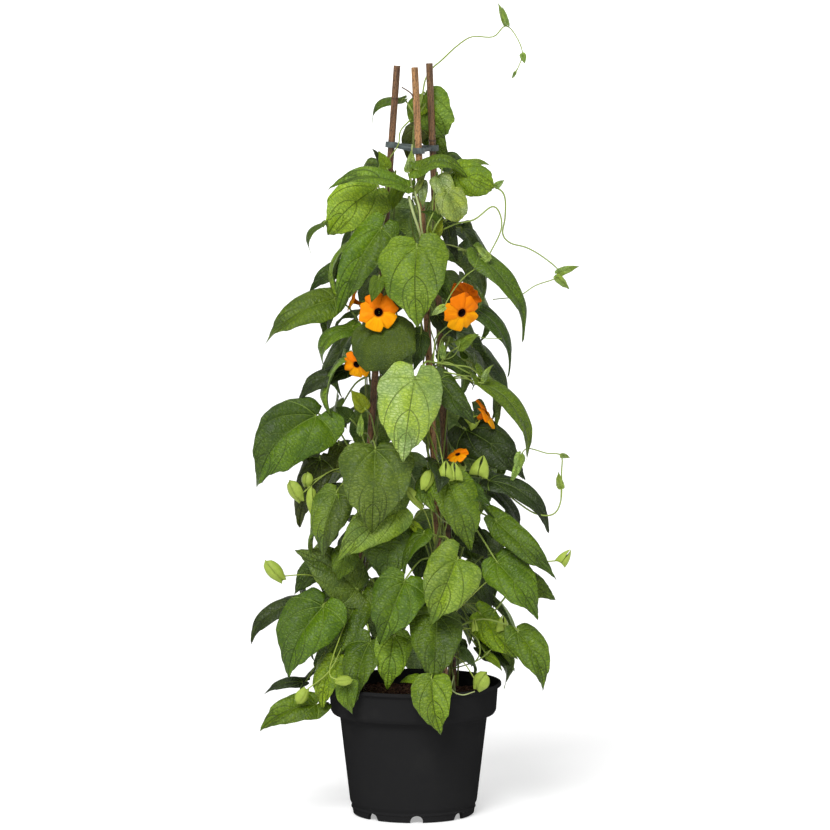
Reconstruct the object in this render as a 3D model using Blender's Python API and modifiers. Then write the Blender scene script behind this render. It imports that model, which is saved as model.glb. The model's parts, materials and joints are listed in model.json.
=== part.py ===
"""Potted black-eyed susan vine on three bamboo canes.

Sizes are in millimetres and are built in metres, with Z up and the floor at zero.
Places marked as seen are read square on to the plane through the pot's axis, and
seen() moves them to their real depth for an eye that stands in front at -Y.
"""
import math
import random

import bmesh
import bpy
from mathutils import Vector

MM = 0.001
GAP = 0.3
# Points closer than this, in metres, are one point
WELD = 0.00001
# Edges between faces that meet more sharply than this stay sharp, in degrees
SHARP_FROM = 35.0

# The eye that the seen places belong to
EYE_DISTANCE = 3500.0
EYE_HEIGHT = 640.0
EYE_X = 1.3
TO_EYE = Vector((0.0, -1.0, 0.0))

# Nursery pot, a 15 cm size
POT_STEPS = 30
POT_HEIGHT = 115.0
POT_WALL = 1.5
RIM_RADIUS = 76.0
RIM_BEAD = 3.0
RIM_WIDTH = 2.6
EASE = 1.2
BAND_TOP_RADIUS = 73.0
BAND_FOOT_RADIUS = 71.0
BAND_FOOT = 88.0
BODY_TOP_RADIUS = 63.5
BODY_TOP = 85.0
BODY_FOOT_RADIUS = 55.0
BODY_FOOT = 12.0
FOOT_RADIUS = 52.0
FOOT_WIDTH = 3.0
FLOOR_LOW = 7.0
FLOOR_HIGH = 9.0
NOTCHES = 8
NOTCH_RADIUS = 5.5
NOTCH_RAISE = 0.4
NOTCH_INNER = 43.0
NOTCH_OUTER = 58.0
NOTCH_TURN = -87.0
DRAIN_RADIUS = 4.0
DRAIN_RING = 38.0
CUT_PAST = 2.0

# Soil
SOIL_TOP = 103.0
SOIL_RINGS = (22.0, 46.0)
SOIL_EDGE_DROP = 1.0
SOIL_ROUGHNESS = 1.2
SOIL_SEED = 5
HOLE_PAST = 8.0
STEM_HOLE_GAP = 0.5
STEM_HOLE_SIDES = 10

# Canes, each from where it enters the soil to its cut top: x and height as seen, depth
CANE_RADIUS = 3.0
CANE_SIDES = 12
CANE_FOOT = 72.0
CANES = {
    "left": ((-53.0, 103.0, 0.0), (-14.0, 645.5, 0.0)),
    "front": ((27.6, 103.0, -44.5), (1.0, 644.0, -14.0)),
    "right": ((35.0, 103.0, 40.0), (13.5, 647.5, 10.0)),
}

# Clip that holds the canes together
CLIP_HEIGHTS = {"left": 578.0, "front": 573.0, "right": 575.0}
CLIP_RING_RADIUS = 5.2
CLIP_RING_HEIGHT = 5.0
CLIP_BAR_HEIGHT = 3.6
CLIP_BAR_THICK = 2.4
CLIP_CLEARANCE = 0.35
CLIP_SIDES = 12
CLIP_BORE_SIDES = 12
CLIP_BORE_REACH = 9.0

# Stems, which twine up the canes
STEM_RADIUS = 1.3
STEM_REACH = 5.5
STEM_PITCH = 108.0
STEM_POINTS_A_TURN = 6
STEM_START = 124.0
STEM_FOOT = 88.0
STEM_RISE = 8.0
STEM_INWARD = 3.0
STEM_TOPS = {"left": 556.0, "front": 552.0, "right": 536.0}
STEM_TIPS = {"left": (), "front": ((0, 568, -4), (0, 588, -3), (3, 606, -2)), "right": ()}
STEM_TURNS = {"left": 20.0, "front": 230.0, "right": 120.0}
STALK_RADIUS = 0.75
STALK_RISE = 0.16
STALK_KNEE = 3.0
STALK_BENT_FROM = 34.0
STALK_HALF = 0.6
SHOOT_RADIUS = 0.75
SHOOT_ARCH = 0.08
# Where a piece of stem carries leaves, as shares of its length
SPOT_SHARES = (0.25, 0.75)
# What a stem's spot costs a leaf that looks for one, as millimetres of distance
FAR_SIDE_COST = 34.0
SHARED_COST = 14.0

# Leaf blades
BLADE_THICK = 0.9
EDGE_DROOP = 0.16
WAVE = (0.035, -0.035)
LOBE_RISE = 0.4
# Outline and rib points along the blade and across it, as shares of length and width
LARGE_EDGE = ((-0.14, 0.22), (0.0, 0.44), (0.28, 0.5), (0.57, 0.38), (0.82, 0.18))
LARGE_RIB = (0.17, 0.45, 0.74)
MEDIUM_EDGE = ((-0.12, 0.28), (0.14, 0.49), (0.5, 0.42), (0.79, 0.2))
MEDIUM_RIB = (0.22, 0.6)
SMALL_EDGE = ((-0.05, 0.3), (0.3, 0.5), (0.7, 0.32))
SMALL_RIB = (0.35,)
LARGE_FROM = 60.0
MEDIUM_FROM = 34.0

# Leaves as seen: name, cane, base x and height, tip x and height, width, depth of the
# base, how much nearer the tip is, turn to the right in degrees, arch as share of length
LEAVES = (
    ("top_curl", "front", -10, 615, -37, 597, 8, 15, 0, -62, 0.25),
    ("top_right", "front", 10, 615, 37, 592, 27, 26, 0, 15, 0.12),
    ("top_back", "front", 0, 588, 33, 572, 25, 27, 0, 10, 0.1),
    ("pair_light", "left", -23, 558, -30, 573, 11, -10, 2, -10, 0.1),
    ("upper_left", "front", -5, 538, -73, 543, 18, -34, 4, -56, 0.2),
    ("under_left", "left", -32, 540, -74, 502, 45, -13, 8, -12, 0.12),
    ("upper_right", "front", 4, 556, 46, 553, 17, -37, 4, 50, 0.22),
    ("round_right", "front", 40, 552, 69, 543, 27, -12, 4, 20, 0.12),
    ("shoot_two", "front", 22, 549, 31, 531, 13, -30, 2, 10, 0.1),
    ("shoot_three", "front", 32, 537, 43, 514, 15, -34, 2, 10, 0.1),
    ("dark_right", "front", 28, 511, 38, 478, 14, -26, 2, 20, 0.1),
    ("long_right", "front", 56, 482, 98, 411, 17, -32, 6, 58, 0.14),
    ("hidden_right", "right", 50, 440, 84, 380, 16, -16, 6, 58, 0.14),
    ("broad_left", "left", -28, 506, -66, 433, 38, -34, 10, -12, 0.1),
    ("far_left", "left", -68, 445, -129, 409, 25, -20, 2, -42, 0.16),
    ("far_left_dark", "left", -52, 474, -90, 452, 18, -4, 0, -30, 0.12),
    ("bloom_cover", "left", -30, 463, -36, 443, 14, -66, 2, -10, 0.1),
    ("broad_centre", "front", 3, 490, 4, 421, 59, -62, 10, 0, 0.1),
    ("flat_dark", "left", -30, 421, -21, 383, 56, -34, 20, -6, 0.1),
    ("arched_left", "left", -52, 420, -77, 384, 15, -26, 4, -52, 0.4),
    ("low_dark_left", "left", -56, 385, -102, 356, 13, -16, 2, -55, 0.16),
    ("big_left", "left", -84, 345, -136, 284, 64, -26, 8, -12, 0.12),
    ("under_centre", "front", 6, 416, 0, 384, 16, -42, 4, 0, 0.1),
    ("pale_centre", "front", 1, 376, -9, 305, 57, -78, 8, 0, 0.08),
    ("long_mid_right", "front", 58, 375, 100, 307, 17, -38, 6, 58, 0.16),
    ("mid_dark", "front", 22, 376, 54, 338, 25, -50, 6, 20, 0.12),
    ("mid_behind", "front", 26, 396, 52, 371, 14, -30, 2, 20, 0.1),
    ("big_dark_right", "right", 45, 333, 97, 290, 38, -18, 6, 15, 0.12),
    ("lower_right", "right", 65, 289, 118, 245, 18, -36, 6, 52, 0.18),
    ("steep_right", "right", 64, 285, 93, 241, 12, -14, 4, 55, 0.14),
    ("olive_left", "left", -80, 308, -100, 249, 28, -6, 4, -35, 0.12),
    ("olive_small", "left", -64, 320, -74, 290, 16, -8, 2, -20, 0.1),
    ("blue_green", "left", -33, 316, -36, 243, 64, -66, 6, 0, 0.09),
    ("half_shaded", "left", -66, 278, -78, 222, 30, -40, 8, -25, 0.14),
    ("bright_low", "left", -15, 262, -67, 219, 35, -52, 6, -15, 0.1),
    ("peeking_tip", "left", -58, 228, -65, 202, 23, -38, 4, -10, 0.1),
    ("grey_up", "left", -50, 196, -103, 229, 38, -26, 4, -25, 0.1),
    ("deep_left", "left", -76, 220, -103, 190, 22, -4, 4, -25, 0.1),
    ("shaded_centre", "left", -16, 252, -24, 198, 54, -38, 6, -4, 0.1),
    ("plain_right", "front", 30, 288, 50, 228, 42, -62, 8, 12, 0.1),
    ("spread_right", "front", 71, 254, 125, 204, 35, -42, 6, 25, 0.14),
    ("low_right", "front", 72, 219, 109, 169, 38, -50, 8, 22, 0.12),
    ("low_right_back", "right", 92, 206, 123, 186, 22, -14, 2, 25, 0.1),
    ("deep_right", "right", 54, 208, 68, 177, 20, -16, 2, 15, 0.1),
    ("deep_centre", "right", 42, 249, 64, 222, 24, -14, 2, 10, 0.1),
    ("folded_pale", "front", 37, 220, 15, 164, 46, -80, 6, -8, 0.1),
    ("low_centre", "front", -8, 201, -30, 147, 45, -70, 8, -6, 0.1),
    ("hanging_dark", "front", 20, 172, 17, 110, 48, -62, 26, 4, 0.1),
    ("rim_leaf", "front", 16, 116, 24, 68, 36, -90, 6, 4, 0.08),
    ("soil_leaf", "left", -17, 155, -23, 107, 33, -54, 4, -6, 0.1),
    ("left_fan", "left", -78, 180, -109, 118, 50, -36, 8, -22, 0.12),
    ("left_fan_back", "left", -45, 190, -79, 125, 30, -24, 10, -20, 0.1),
    ("left_low", "left", -38, 148, -50, 98, 34, -46, 20, -14, 0.1),
    ("left_yellow", "left", -68, 132, -79, 91, 26, -40, 10, -22, 0.1),
    ("left_hanging", "left", -57, 114, -53, 86, 20, -70, 2, -14, 0.1),
    ("bottom_left", "left", -84, 95, -134, 72, 26, -34, 4, -30, 0.14),
    ("dark_tip_left", "left", -96, 114, -131, 103, 9, -20, 2, -50, 0.12),
    ("high_tip_left", "left", -98, 183, -142, 149, 18, -10, 2, -45, 0.16),
    ("right_fan", "front", 90, 158, 113, 107, 28, -42, 8, 20, 0.12),
    ("right_yellow", "right", 58, 173, 91, 134, 27, -26, 4, 15, 0.1),
)

# Leaves of the sides and the back, in rows: height of the bases, count, first and last
# direction in degrees, where 90 is straight back, length of the blades
BACK_ROWS = (
    (560.0, 2, 50.0, 125.0, 46.0),
    (512.0, 3, 25.0, 160.0, 58.0),
    (462.0, 4, 20.0, 165.0, 62.0),
    (408.0, 4, 12.0, 150.0, 66.0),
    (352.0, 4, 22.0, 168.0, 70.0),
    (298.0, 4, 16.0, 150.0, 72.0),
    (244.0, 4, 30.0, 168.0, 72.0),
    (192.0, 4, 16.0, 156.0, 68.0),
    (144.0, 3, 24.0, 146.0, 52.0),
    (490.0, 2, -20.0, 200.0, 50.0),
    (392.0, 2, -16.0, 200.0, 54.0),
    (268.0, 2, -20.0, 200.0, 56.0),
)
BACK_SEED = 11
BACK_RADIUS = 72.0
BACK_TAPER = 0.07
BACK_STAGGER = 10.0
BACK_LEAN = 0.34
BACK_DROP = 0.9
BACK_SPLIT = 95.0
BACK_WIDTH = 0.76
BACK_ARCH = 0.14

# Buds as seen: name, cane, base x and height, tip x and height, width, depth
BUDS = (
    ("bud_tall", "front", 27, 292, 28, 307, 11, -72),
    ("bud_right", "front", 56, 294, 60, 311, 14, -52),
    ("bud_low", "front", 9, 282, 15, 299, 13, -66),
    ("bud_pale", "front", 7, 266, -6, 284, 9, -58),
    ("bud_left_one", "left", -97, 272, -107, 290, 13, -34),
    ("bud_left_two", "left", -92, 284, -91, 297, 11, -28),
    ("bud_far_left", "left", -113, 203, -128, 220, 13, -24),
    ("bud_rim_left", "left", -93, 108, -101, 95, 11, -48),
    ("bud_rim_pale", "left", -67, 115, -53, 116, 9, -66),
    ("bud_rim_right", "front", 55, 108, 63, 123, 15, -62),
    ("bud_far_right", "front", 127, 218, 136, 230, 9, -46),
    ("bud_young", "right", 77, 159, 77, 173, 10, -34),
)

# Rings of a bud: share of its length, radius as share of its width
BUD_RINGS = ((0.0, 0.2), (0.42, 0.5))
BUD_SIDES = 6
BUD_FLATNESS = 0.62
# How far into a bud or a bloom's bracts the stalk reaches
BUD_SINK = 0.2
BRACT_SINK = 0.4

# Blooms as seen: name, cane, x and height of the eye, depth, diameter, facing direction
BLOOMS = (
    ("bloom_1", "left", -30.0, 434.5, -58.0, 35.0, (-0.05, -1.0, 0.1)),
    ("bloom_2", "front", 41.5, 434.0, -60.0, 35.0, (0.45, -0.85, -0.25)),
    ("bloom_3", "front", 45.0, 449.0, -36.0, 30.0, (0.35, 0.75, 0.5)),
    ("bloom_4", "left", -49.0, 391.0, -62.0, 26.0, (-0.5, -0.8, -0.3)),
    ("bloom_5", "left", -54.0, 445.0, -4.0, 22.0, (-0.5, -0.6, 0.3)),
    ("bloom_6", "front", 61.0, 351.0, -28.0, 22.0, (0.72, -0.25, 0.65)),
    ("bloom_7", "front", 41.5, 311.0, -48.0, 18.0, (-0.1, -0.75, 0.65)),
    ("bloom_8", "right", 14.0, 462.0, 84.0, 33.0, (0.2, 0.95, 0.1)),
    ("bloom_9", "left", -14.0, 345.0, 82.0, 34.0, (-0.2, 0.95, 0.0)),
    ("bloom_10", "right", 12.0, 218.0, 80.0, 33.0, (0.3, 0.94, 0.05)),
)
BLOOM_TUBE = 9.0
BLOOM_TUBE_RADIUS = 1.8
BLOOM_THICK = 0.8
BLOOM_PIT = 5.0
PETALS = 5
# Outline of one petal: share of the bloom's radius, share of the way to the next petal
PETAL_OUTLINE = ((0.74, 0.0), (1.0, 0.27), (1.0, 0.73))
PETAL_DIP = 1.4
# Height and radius of the throat, behind the petals and before them
THROAT_BACK = (-2.2, 3.6)
THROAT_FRONT = (-1.0, 3.0)
BRACT_LENGTH = 9.0
BRACT_RADIUS = 4.6

# Free shoots as seen: name, cane, points of x, height and depth from the stem outwards
SHOOTS = (
    ("top_shoot", "front", (
        (3, 606, -2), (7, 617, 6), (10, 633, 17), (16, 643, 20), (24, 650, 18), (37, 662, 12),
        (50, 670, 8), (68, 670, 5), (78, 679, 4), (86, 673, 2), (93, 657, 0), (89, 643, -1),
        (84, 635, -2))),
    ("right_shoot", "front", (
        (24, 548, -24), (50, 550, -9), (70, 542, -6), (78, 534, -8), (78.5, 516, -10),
        (76.5, 502, -12), (83, 494, -13), (97, 490, -14), (111, 482, -16), (124, 471, -18),
        (122.5, 464, -18), (104.7, 457.5, -16), (90, 448.5, -18), (68, 445.5, -22))),
    ("loop_shoot", "front", (
        (18, 499, -34), (35, 510, -44), (52, 514, -42), (67, 525, -36), (74, 519, -34),
        (75, 505, -34), (66, 486, -36), (62, 478, -40), (45, 466, -50), (34, 453, -74),
        (25, 437, -80))),
    ("low_shoot", "right", (
        (60, 292, -2), (75, 283, -28), (87, 272.6, -42), (104.5, 261, -46), (120, 260, -44),
        (127, 272, -42), (127.5, 296, -40), (127, 311, -38), (114.5, 313, -36),
        (98, 317, -36), (91, 309, -37))),
)
# Small leaves of the shoots: shoot, base x and height, tip x and height, width, depth
SHOOT_LEAVES = (
    ("top_shoot", 74, 675, 72, 699, 8, 4),
    ("right_shoot", 124, 468, 142.4, 474, 8, -18),
    ("loop_shoot", 64, 481, 53, 492, 8, -38),
    ("low_shoot", 127, 283, 125, 297, 7, -41),
    ("low_shoot", 92, 311, 88, 295, 10, -37),
)

COLOURS = {
    "pot": (0.012, 0.012, 0.013),
    "soil": (0.035, 0.018, 0.012),
    "cane": (0.17, 0.09, 0.045),
    "clip": (0.035, 0.045, 0.048),
    "leaf": (0.13, 0.27, 0.045),
    "bloom": (0.85, 0.34, 0.01),
}


def clear_scene():
    """Remove what the open scene holds."""
    for item in list(bpy.data.objects):
        bpy.data.objects.remove(item, do_unlink=True)


def collection(name):
    """A new collection under the scene's own."""
    group = bpy.data.collections.new(name)
    bpy.context.scene.collection.children.link(group)
    return group


def material(name, colour, roughness):
    """A plain Principled material."""
    made = bpy.data.materials.new(name)
    made.use_nodes = True
    shader = made.node_tree.nodes["Principled BSDF"]
    shader.inputs["Base Color"].default_value = (*colour, 1.0)
    shader.inputs["Roughness"].default_value = roughness
    shader.inputs["Metallic"].default_value = 0.0
    return made


def seen(x, height, depth):
    """The real point at a depth for a place seen on the plane through the axis."""
    share = (EYE_DISTANCE + depth) / EYE_DISTANCE
    return Vector((EYE_X + (x - EYE_X) * share, depth, EYE_HEIGHT + (height - EYE_HEIGHT) * share))


def around(degrees):
    """The level direction at an angle round the pot's axis, counted from +X."""
    angle = math.radians(degrees)
    return Vector((math.cos(angle), math.sin(angle), 0.0))


def up(height):
    """A step straight up."""
    return Vector((0.0, 0.0, height))


def mesh_object(name, mesh, group):
    """An object for a mesh, in a collection."""
    made = bpy.data.objects.new(name, mesh)
    group.objects.link(made)
    return made


def from_bmesh(name, shape, group):
    """An object for a bmesh whose millimetres become metres."""
    bmesh.ops.scale(shape, vec=(MM, MM, MM), verts=shape.verts)
    bmesh.ops.recalc_face_normals(shape, faces=shape.faces)
    mesh = bpy.data.meshes.new(name)
    shape.to_mesh(mesh)
    shape.free()
    return mesh_object(name, mesh, group)


def turned(name, profile, group, steps):
    """A turned piece from the radius and height of its profile, listed down the outside."""
    mesh = bpy.data.meshes.new(name)
    points = [(radius * MM, 0.0, height * MM) for radius, height in profile]
    edges = [(i, (i + 1) % len(points)) for i in range(len(points))]
    if profile[0][0] == 0.0:
        edges.pop()
    mesh.from_pydata(points, edges, [])
    made = mesh_object(name, mesh, group)
    screw = made.modifiers.new("turn", "SCREW")
    screw.axis = "Z"
    screw.steps = steps
    screw.render_steps = steps
    screw.use_merge_vertices = True
    screw.merge_threshold = WELD
    screw.use_smooth_shade = False
    return made


def rod(name, low, high, radius, sides, group):
    """A straight round rod between two points."""
    axis = high - low
    shape = bmesh.new()
    bmesh.ops.create_cone(shape, cap_ends=True, segments=sides, radius1=radius, radius2=radius,
                          depth=axis.length)
    turn = axis.to_track_quat("Z", "Y").to_matrix().to_4x4()
    turn.translation = (low + high) / 2.0
    bmesh.ops.transform(shape, matrix=turn, verts=shape.verts)
    return from_bmesh(name, shape, group)


def tube(name, points, radius, group):
    """A four-sided tube through points, as a curve."""
    curve = bpy.data.curves.new(name, "CURVE")
    curve.dimensions = "3D"
    curve.bevel_depth = radius * MM
    curve.bevel_resolution = 0
    curve.render_resolution_u = 0
    curve.use_fill_caps = True
    spline = curve.splines.new("POLY")
    spline.points.add(len(points) - 1)
    for spot, place in zip(spline.points, points):
        spot.co = (*(place * MM), 1.0)
    made = bpy.data.objects.new(name, curve)
    group.objects.link(made)
    return made


def curves_to_meshes(group):
    """Turn a collection's curves into closed meshes."""
    curves = [item for item in group.objects if item.type == "CURVE"]
    depsgraph = bpy.context.evaluated_depsgraph_get()
    for item in curves:
        mesh = bpy.data.meshes.new_from_object(item.evaluated_get(depsgraph))
        shape = bmesh.new()
        shape.from_mesh(mesh)
        bmesh.ops.remove_doubles(shape, verts=shape.verts, dist=WELD)
        bmesh.ops.recalc_face_normals(shape, faces=shape.faces)
        shape.to_mesh(mesh)
        shape.free()
        name = item.name
        place = item.matrix_world.copy()
        bpy.data.objects.remove(item, do_unlink=True)
        made = mesh_object(name, mesh, group)
        made.matrix_world = place


def boolean(target, operation, solver, other=None, group=None):
    """Join or cut an object, and apply the result to its mesh."""
    change = target.modifiers.new("change", "BOOLEAN")
    change.operation = operation
    change.solver = solver
    if group is None:
        change.object = other
    else:
        change.operand_type = "COLLECTION"
        change.collection = group
    apply_modifiers(target)


def apply_modifiers(target):
    """Fix an object's evaluated shape as its mesh."""
    depsgraph = bpy.context.evaluated_depsgraph_get()
    mesh = bpy.data.meshes.new_from_object(target.evaluated_get(depsgraph))
    target.modifiers.clear()
    target.data = mesh


def shade_round(target):
    """Shade an object smooth, with its sharp edges kept."""
    target.data.shade_smooth()
    target.data.set_sharp_from_angle(angle=math.radians(SHARP_FROM))


def drop_scraps(target):
    """Keep an object's largest body, without scraps and sealed hollows."""
    shape = bmesh.new()
    shape.from_mesh(target.data)
    left = set(shape.verts)
    bodies = []
    while left:
        front = [left.pop()]
        body = set(front)
        while front:
            spot = front.pop()
            for edge in spot.link_edges:
                other = edge.other_vert(spot)
                if other in left:
                    left.remove(other)
                    body.add(other)
                    front.append(other)
        bodies.append(body)
    bodies.sort(key=len)
    for body in bodies[:-1]:
        bmesh.ops.delete(shape, geom=list(body), context="VERTS")
    shape.to_mesh(target.data)
    shape.free()


def empty_collection(group):
    """Remove a collection with its objects."""
    for item in list(group.objects):
        bpy.data.objects.remove(item, do_unlink=True)
    bpy.data.collections.remove(group)


def wall_radius(height):
    """Outer radius of the pot's body at a height."""
    share = (height - BODY_FOOT) / (BODY_TOP - BODY_FOOT)
    return BODY_FOOT_RADIUS + share * (BODY_TOP_RADIUS - BODY_FOOT_RADIUS)


def make_pot(parts):
    """The thin-walled pot, with a rim band, a foot ring and drain notches."""
    inner_foot = wall_radius(FLOOR_HIGH) - POT_WALL
    profile = (
        (RIM_RADIUS, POT_HEIGHT),
        (RIM_RADIUS, POT_HEIGHT - RIM_BEAD + EASE / 2.0),
        (BAND_TOP_RADIUS, POT_HEIGHT - RIM_BEAD - EASE),
        (BAND_FOOT_RADIUS, BAND_FOOT + EASE),
        (BAND_FOOT_RADIUS - EASE, BAND_FOOT),
        (BODY_TOP_RADIUS, BODY_TOP),
        (BODY_FOOT_RADIUS, BODY_FOOT),
        (FOOT_RADIUS + EASE, FLOOR_LOW),
        (FOOT_RADIUS, EASE),
        (FOOT_RADIUS - EASE, 0.0),
        (FOOT_RADIUS - FOOT_WIDTH, 0.0),
        (FOOT_RADIUS - FOOT_WIDTH, FLOOR_LOW),
        (0.0, FLOOR_LOW),
        (0.0, FLOOR_HIGH),
        (inner_foot, FLOOR_HIGH),
        (BODY_TOP_RADIUS - POT_WALL, BODY_TOP + EASE),
        (BAND_FOOT_RADIUS - POT_WALL, BAND_FOOT + RIM_BEAD),
        (BAND_TOP_RADIUS - POT_WALL, POT_HEIGHT - RIM_BEAD - EASE),
        (RIM_RADIUS - RIM_WIDTH, POT_HEIGHT),
    )
    pot = turned("pot", profile, parts, POT_STEPS)
    apply_modifiers(pot)
    tidy_turned(pot)
    cutters = collection("cutters")
    for k in range(NOTCHES):
        out = around(NOTCH_TURN + 360.0 / NOTCHES * k)
        inner = out * NOTCH_INNER + up(NOTCH_RAISE)
        outer = out * NOTCH_OUTER + up(NOTCH_RAISE)
        rod("notch", inner, outer, NOTCH_RADIUS, 8, cutters)
        spot = around(NOTCH_TURN + 360.0 / NOTCHES * (k + 0.5)) * DRAIN_RING
        low = spot + up(FLOOR_LOW - CUT_PAST)
        high = spot + up(FLOOR_HIGH + CUT_PAST)
        rod("drain", low, high, DRAIN_RADIUS, 8, cutters)
    for cutter in cutters.objects:
        cutter.hide_render = True
        cutter.display_type = "WIRE"
    boolean(pot, "DIFFERENCE", "EXACT", group=cutters)
    empty_collection(cutters)
    pot.data.materials.append(material("pot_plastic", COLOURS["pot"], 0.45))
    return pot


def tidy_turned(target):
    """Close the seams on the axis of a turned piece."""
    shape = bmesh.new()
    shape.from_mesh(target.data)
    bmesh.ops.remove_doubles(shape, verts=shape.verts, dist=WELD)
    bmesh.ops.dissolve_degenerate(shape, dist=WELD / 10.0, edges=shape.edges)
    bmesh.ops.recalc_face_normals(shape, faces=shape.faces)
    shape.to_mesh(target.data)
    shape.free()


def make_soil(parts):
    """The soil that fills the pot, with an uneven top."""
    inset = POT_WALL + GAP
    profile = ((0.0, SOIL_TOP),) + tuple((radius, SOIL_TOP) for radius in SOIL_RINGS) + (
        (BAND_FOOT_RADIUS - inset, SOIL_TOP - SOIL_EDGE_DROP),
        (BAND_FOOT_RADIUS - inset, BAND_FOOT + RIM_BEAD + GAP),
        (BODY_TOP_RADIUS - inset, BODY_TOP + EASE + GAP),
        (wall_radius(FLOOR_HIGH) - inset, FLOOR_HIGH + GAP),
        (0.0, FLOOR_HIGH + GAP),
    )
    soil = turned("soil", profile, parts, POT_STEPS)
    apply_modifiers(soil)
    tidy_turned(soil)
    rng = random.Random(SOIL_SEED)
    for spot in soil.data.vertices:
        if spot.co.z > (SOIL_TOP - SOIL_EDGE_DROP / 2.0) * MM:
            spot.co.z += rng.uniform(-1.0, 1.0) * SOIL_ROUGHNESS * MM
    soil.data.materials.append(material("peat_soil", COLOURS["soil"], 0.95))
    return soil


def cane_line(side):
    """A function that gives the cane's middle at a height."""
    (x0, h0, y0), (x1, h1, y1) = CANES[side]
    low, high = seen(x0, h0, y0), seen(x1, h1, y1)

    def at(height):
        return low + (high - low) * ((height - low.z) / (high.z - low.z))

    return at, high.z


def make_canes(parts):
    """Three round canes."""
    canes = []
    for side in CANES:
        at, top = cane_line(side)
        cane = rod("cane_" + side, at(CANE_FOOT), at(top), CANE_RADIUS, CANE_SIDES, parts)
        cane.data.materials.append(material("bamboo_" + side, COLOURS["cane"], 0.6))
        canes.append(cane)
    return canes


def make_clip(parts):
    """Three rings joined by bars, each ring bored for its cane."""
    joined = collection("clip_pieces")
    bores = collection("clip_bores")
    middles = []
    for side, height in CLIP_HEIGHTS.items():
        at, _ = cane_line(side)
        half = CLIP_RING_HEIGHT / 2.0
        rod("ring", at(height - half), at(height + half), CLIP_RING_RADIUS, CLIP_SIDES, joined)
        low = at(height - CLIP_BORE_REACH)
        high = at(height + CLIP_BORE_REACH)
        rod("bore", low, high, CANE_RADIUS + CLIP_CLEARANCE, CLIP_BORE_SIDES, bores)
        middles.append(at(height))
    for k in range(3):
        start, end = middles[k], middles[(k + 1) % 3]
        shape = bmesh.new()
        bmesh.ops.create_cube(shape, size=1.0)
        axis = end - start
        size = Vector((CLIP_BAR_THICK, CLIP_BAR_HEIGHT, axis.length))
        bmesh.ops.scale(shape, vec=size, verts=shape.verts)
        turn = axis.to_track_quat("Z", "Y").to_matrix().to_4x4()
        turn.translation = (start + end) / 2.0
        bmesh.ops.transform(shape, matrix=turn, verts=shape.verts)
        from_bmesh("bar", shape, joined)
    clip = joined.objects[0]
    joined.objects.unlink(clip)
    parts.objects.link(clip)
    clip.name = "cane_clip"
    boolean(clip, "UNION", "EXACT", group=joined)
    boolean(clip, "DIFFERENCE", "EXACT", group=bores)
    empty_collection(joined)
    empty_collection(bores)
    clip.data.materials.append(material("clip_plastic", COLOURS["clip"], 0.5))
    return clip


def stem_points(side):
    """The stem's middle line, from its foot in the soil up round its cane."""
    at, _ = cane_line(side)
    rise = STEM_PITCH / STEM_POINTS_A_TURN
    count = int((STEM_TOPS[side] - STEM_START) / rise)
    points = []
    for k in range(count + 1):
        out = around(STEM_TURNS[side] + 360.0 / STEM_POINTS_A_TURN * k)
        points.append(at(STEM_START + rise * k) + out * STEM_REACH)
    first = Vector((points[0].x, points[0].y, 0.0))
    root = first - first.normalized() * STEM_INWARD
    low = [root + up(height) for height in (STEM_FOOT, SOIL_TOP, SOIL_TOP + STEM_RISE)]
    return low + points + [seen(*place) for place in STEM_TIPS[side]]


def edge_points(length):
    """The outline and rib shares for a blade of this length."""
    if length >= LARGE_FROM:
        return LARGE_EDGE, LARGE_RIB
    if length >= MEDIUM_FROM:
        return MEDIUM_EDGE, MEDIUM_RIB
    return SMALL_EDGE, SMALL_RIB


class Blade:
    """The curved sheet of one leaf, from its base to its tip."""

    def __init__(self, base, tip, width, face, turn, arch):
        self.base = base
        self.length = (tip - base).length
        self.width = width
        self.arch = arch
        self.along = (tip - base).normalized()
        out = (face - self.along * face.dot(self.along)).normalized()
        side = out.cross(self.along)
        angle = math.radians(turn)
        self.normal = out * math.cos(angle) + side * math.sin(angle)
        self.across = self.along.cross(self.normal)

    def at(self, a, b, wave=0.0):
        """The point at a share of the length along and a share of the width across."""
        rise = self.arch * 4.0 * a * (1.0 - a) if a > 0.0 else self.arch * LOBE_RISE * a
        droop = EDGE_DROOP * self.width * 2.0 * b * b
        lift = rise * self.length - droop + wave * self.width
        middle = self.base + self.along * (a * self.length) + self.across * (b * self.width)
        return middle + self.normal * lift


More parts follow.
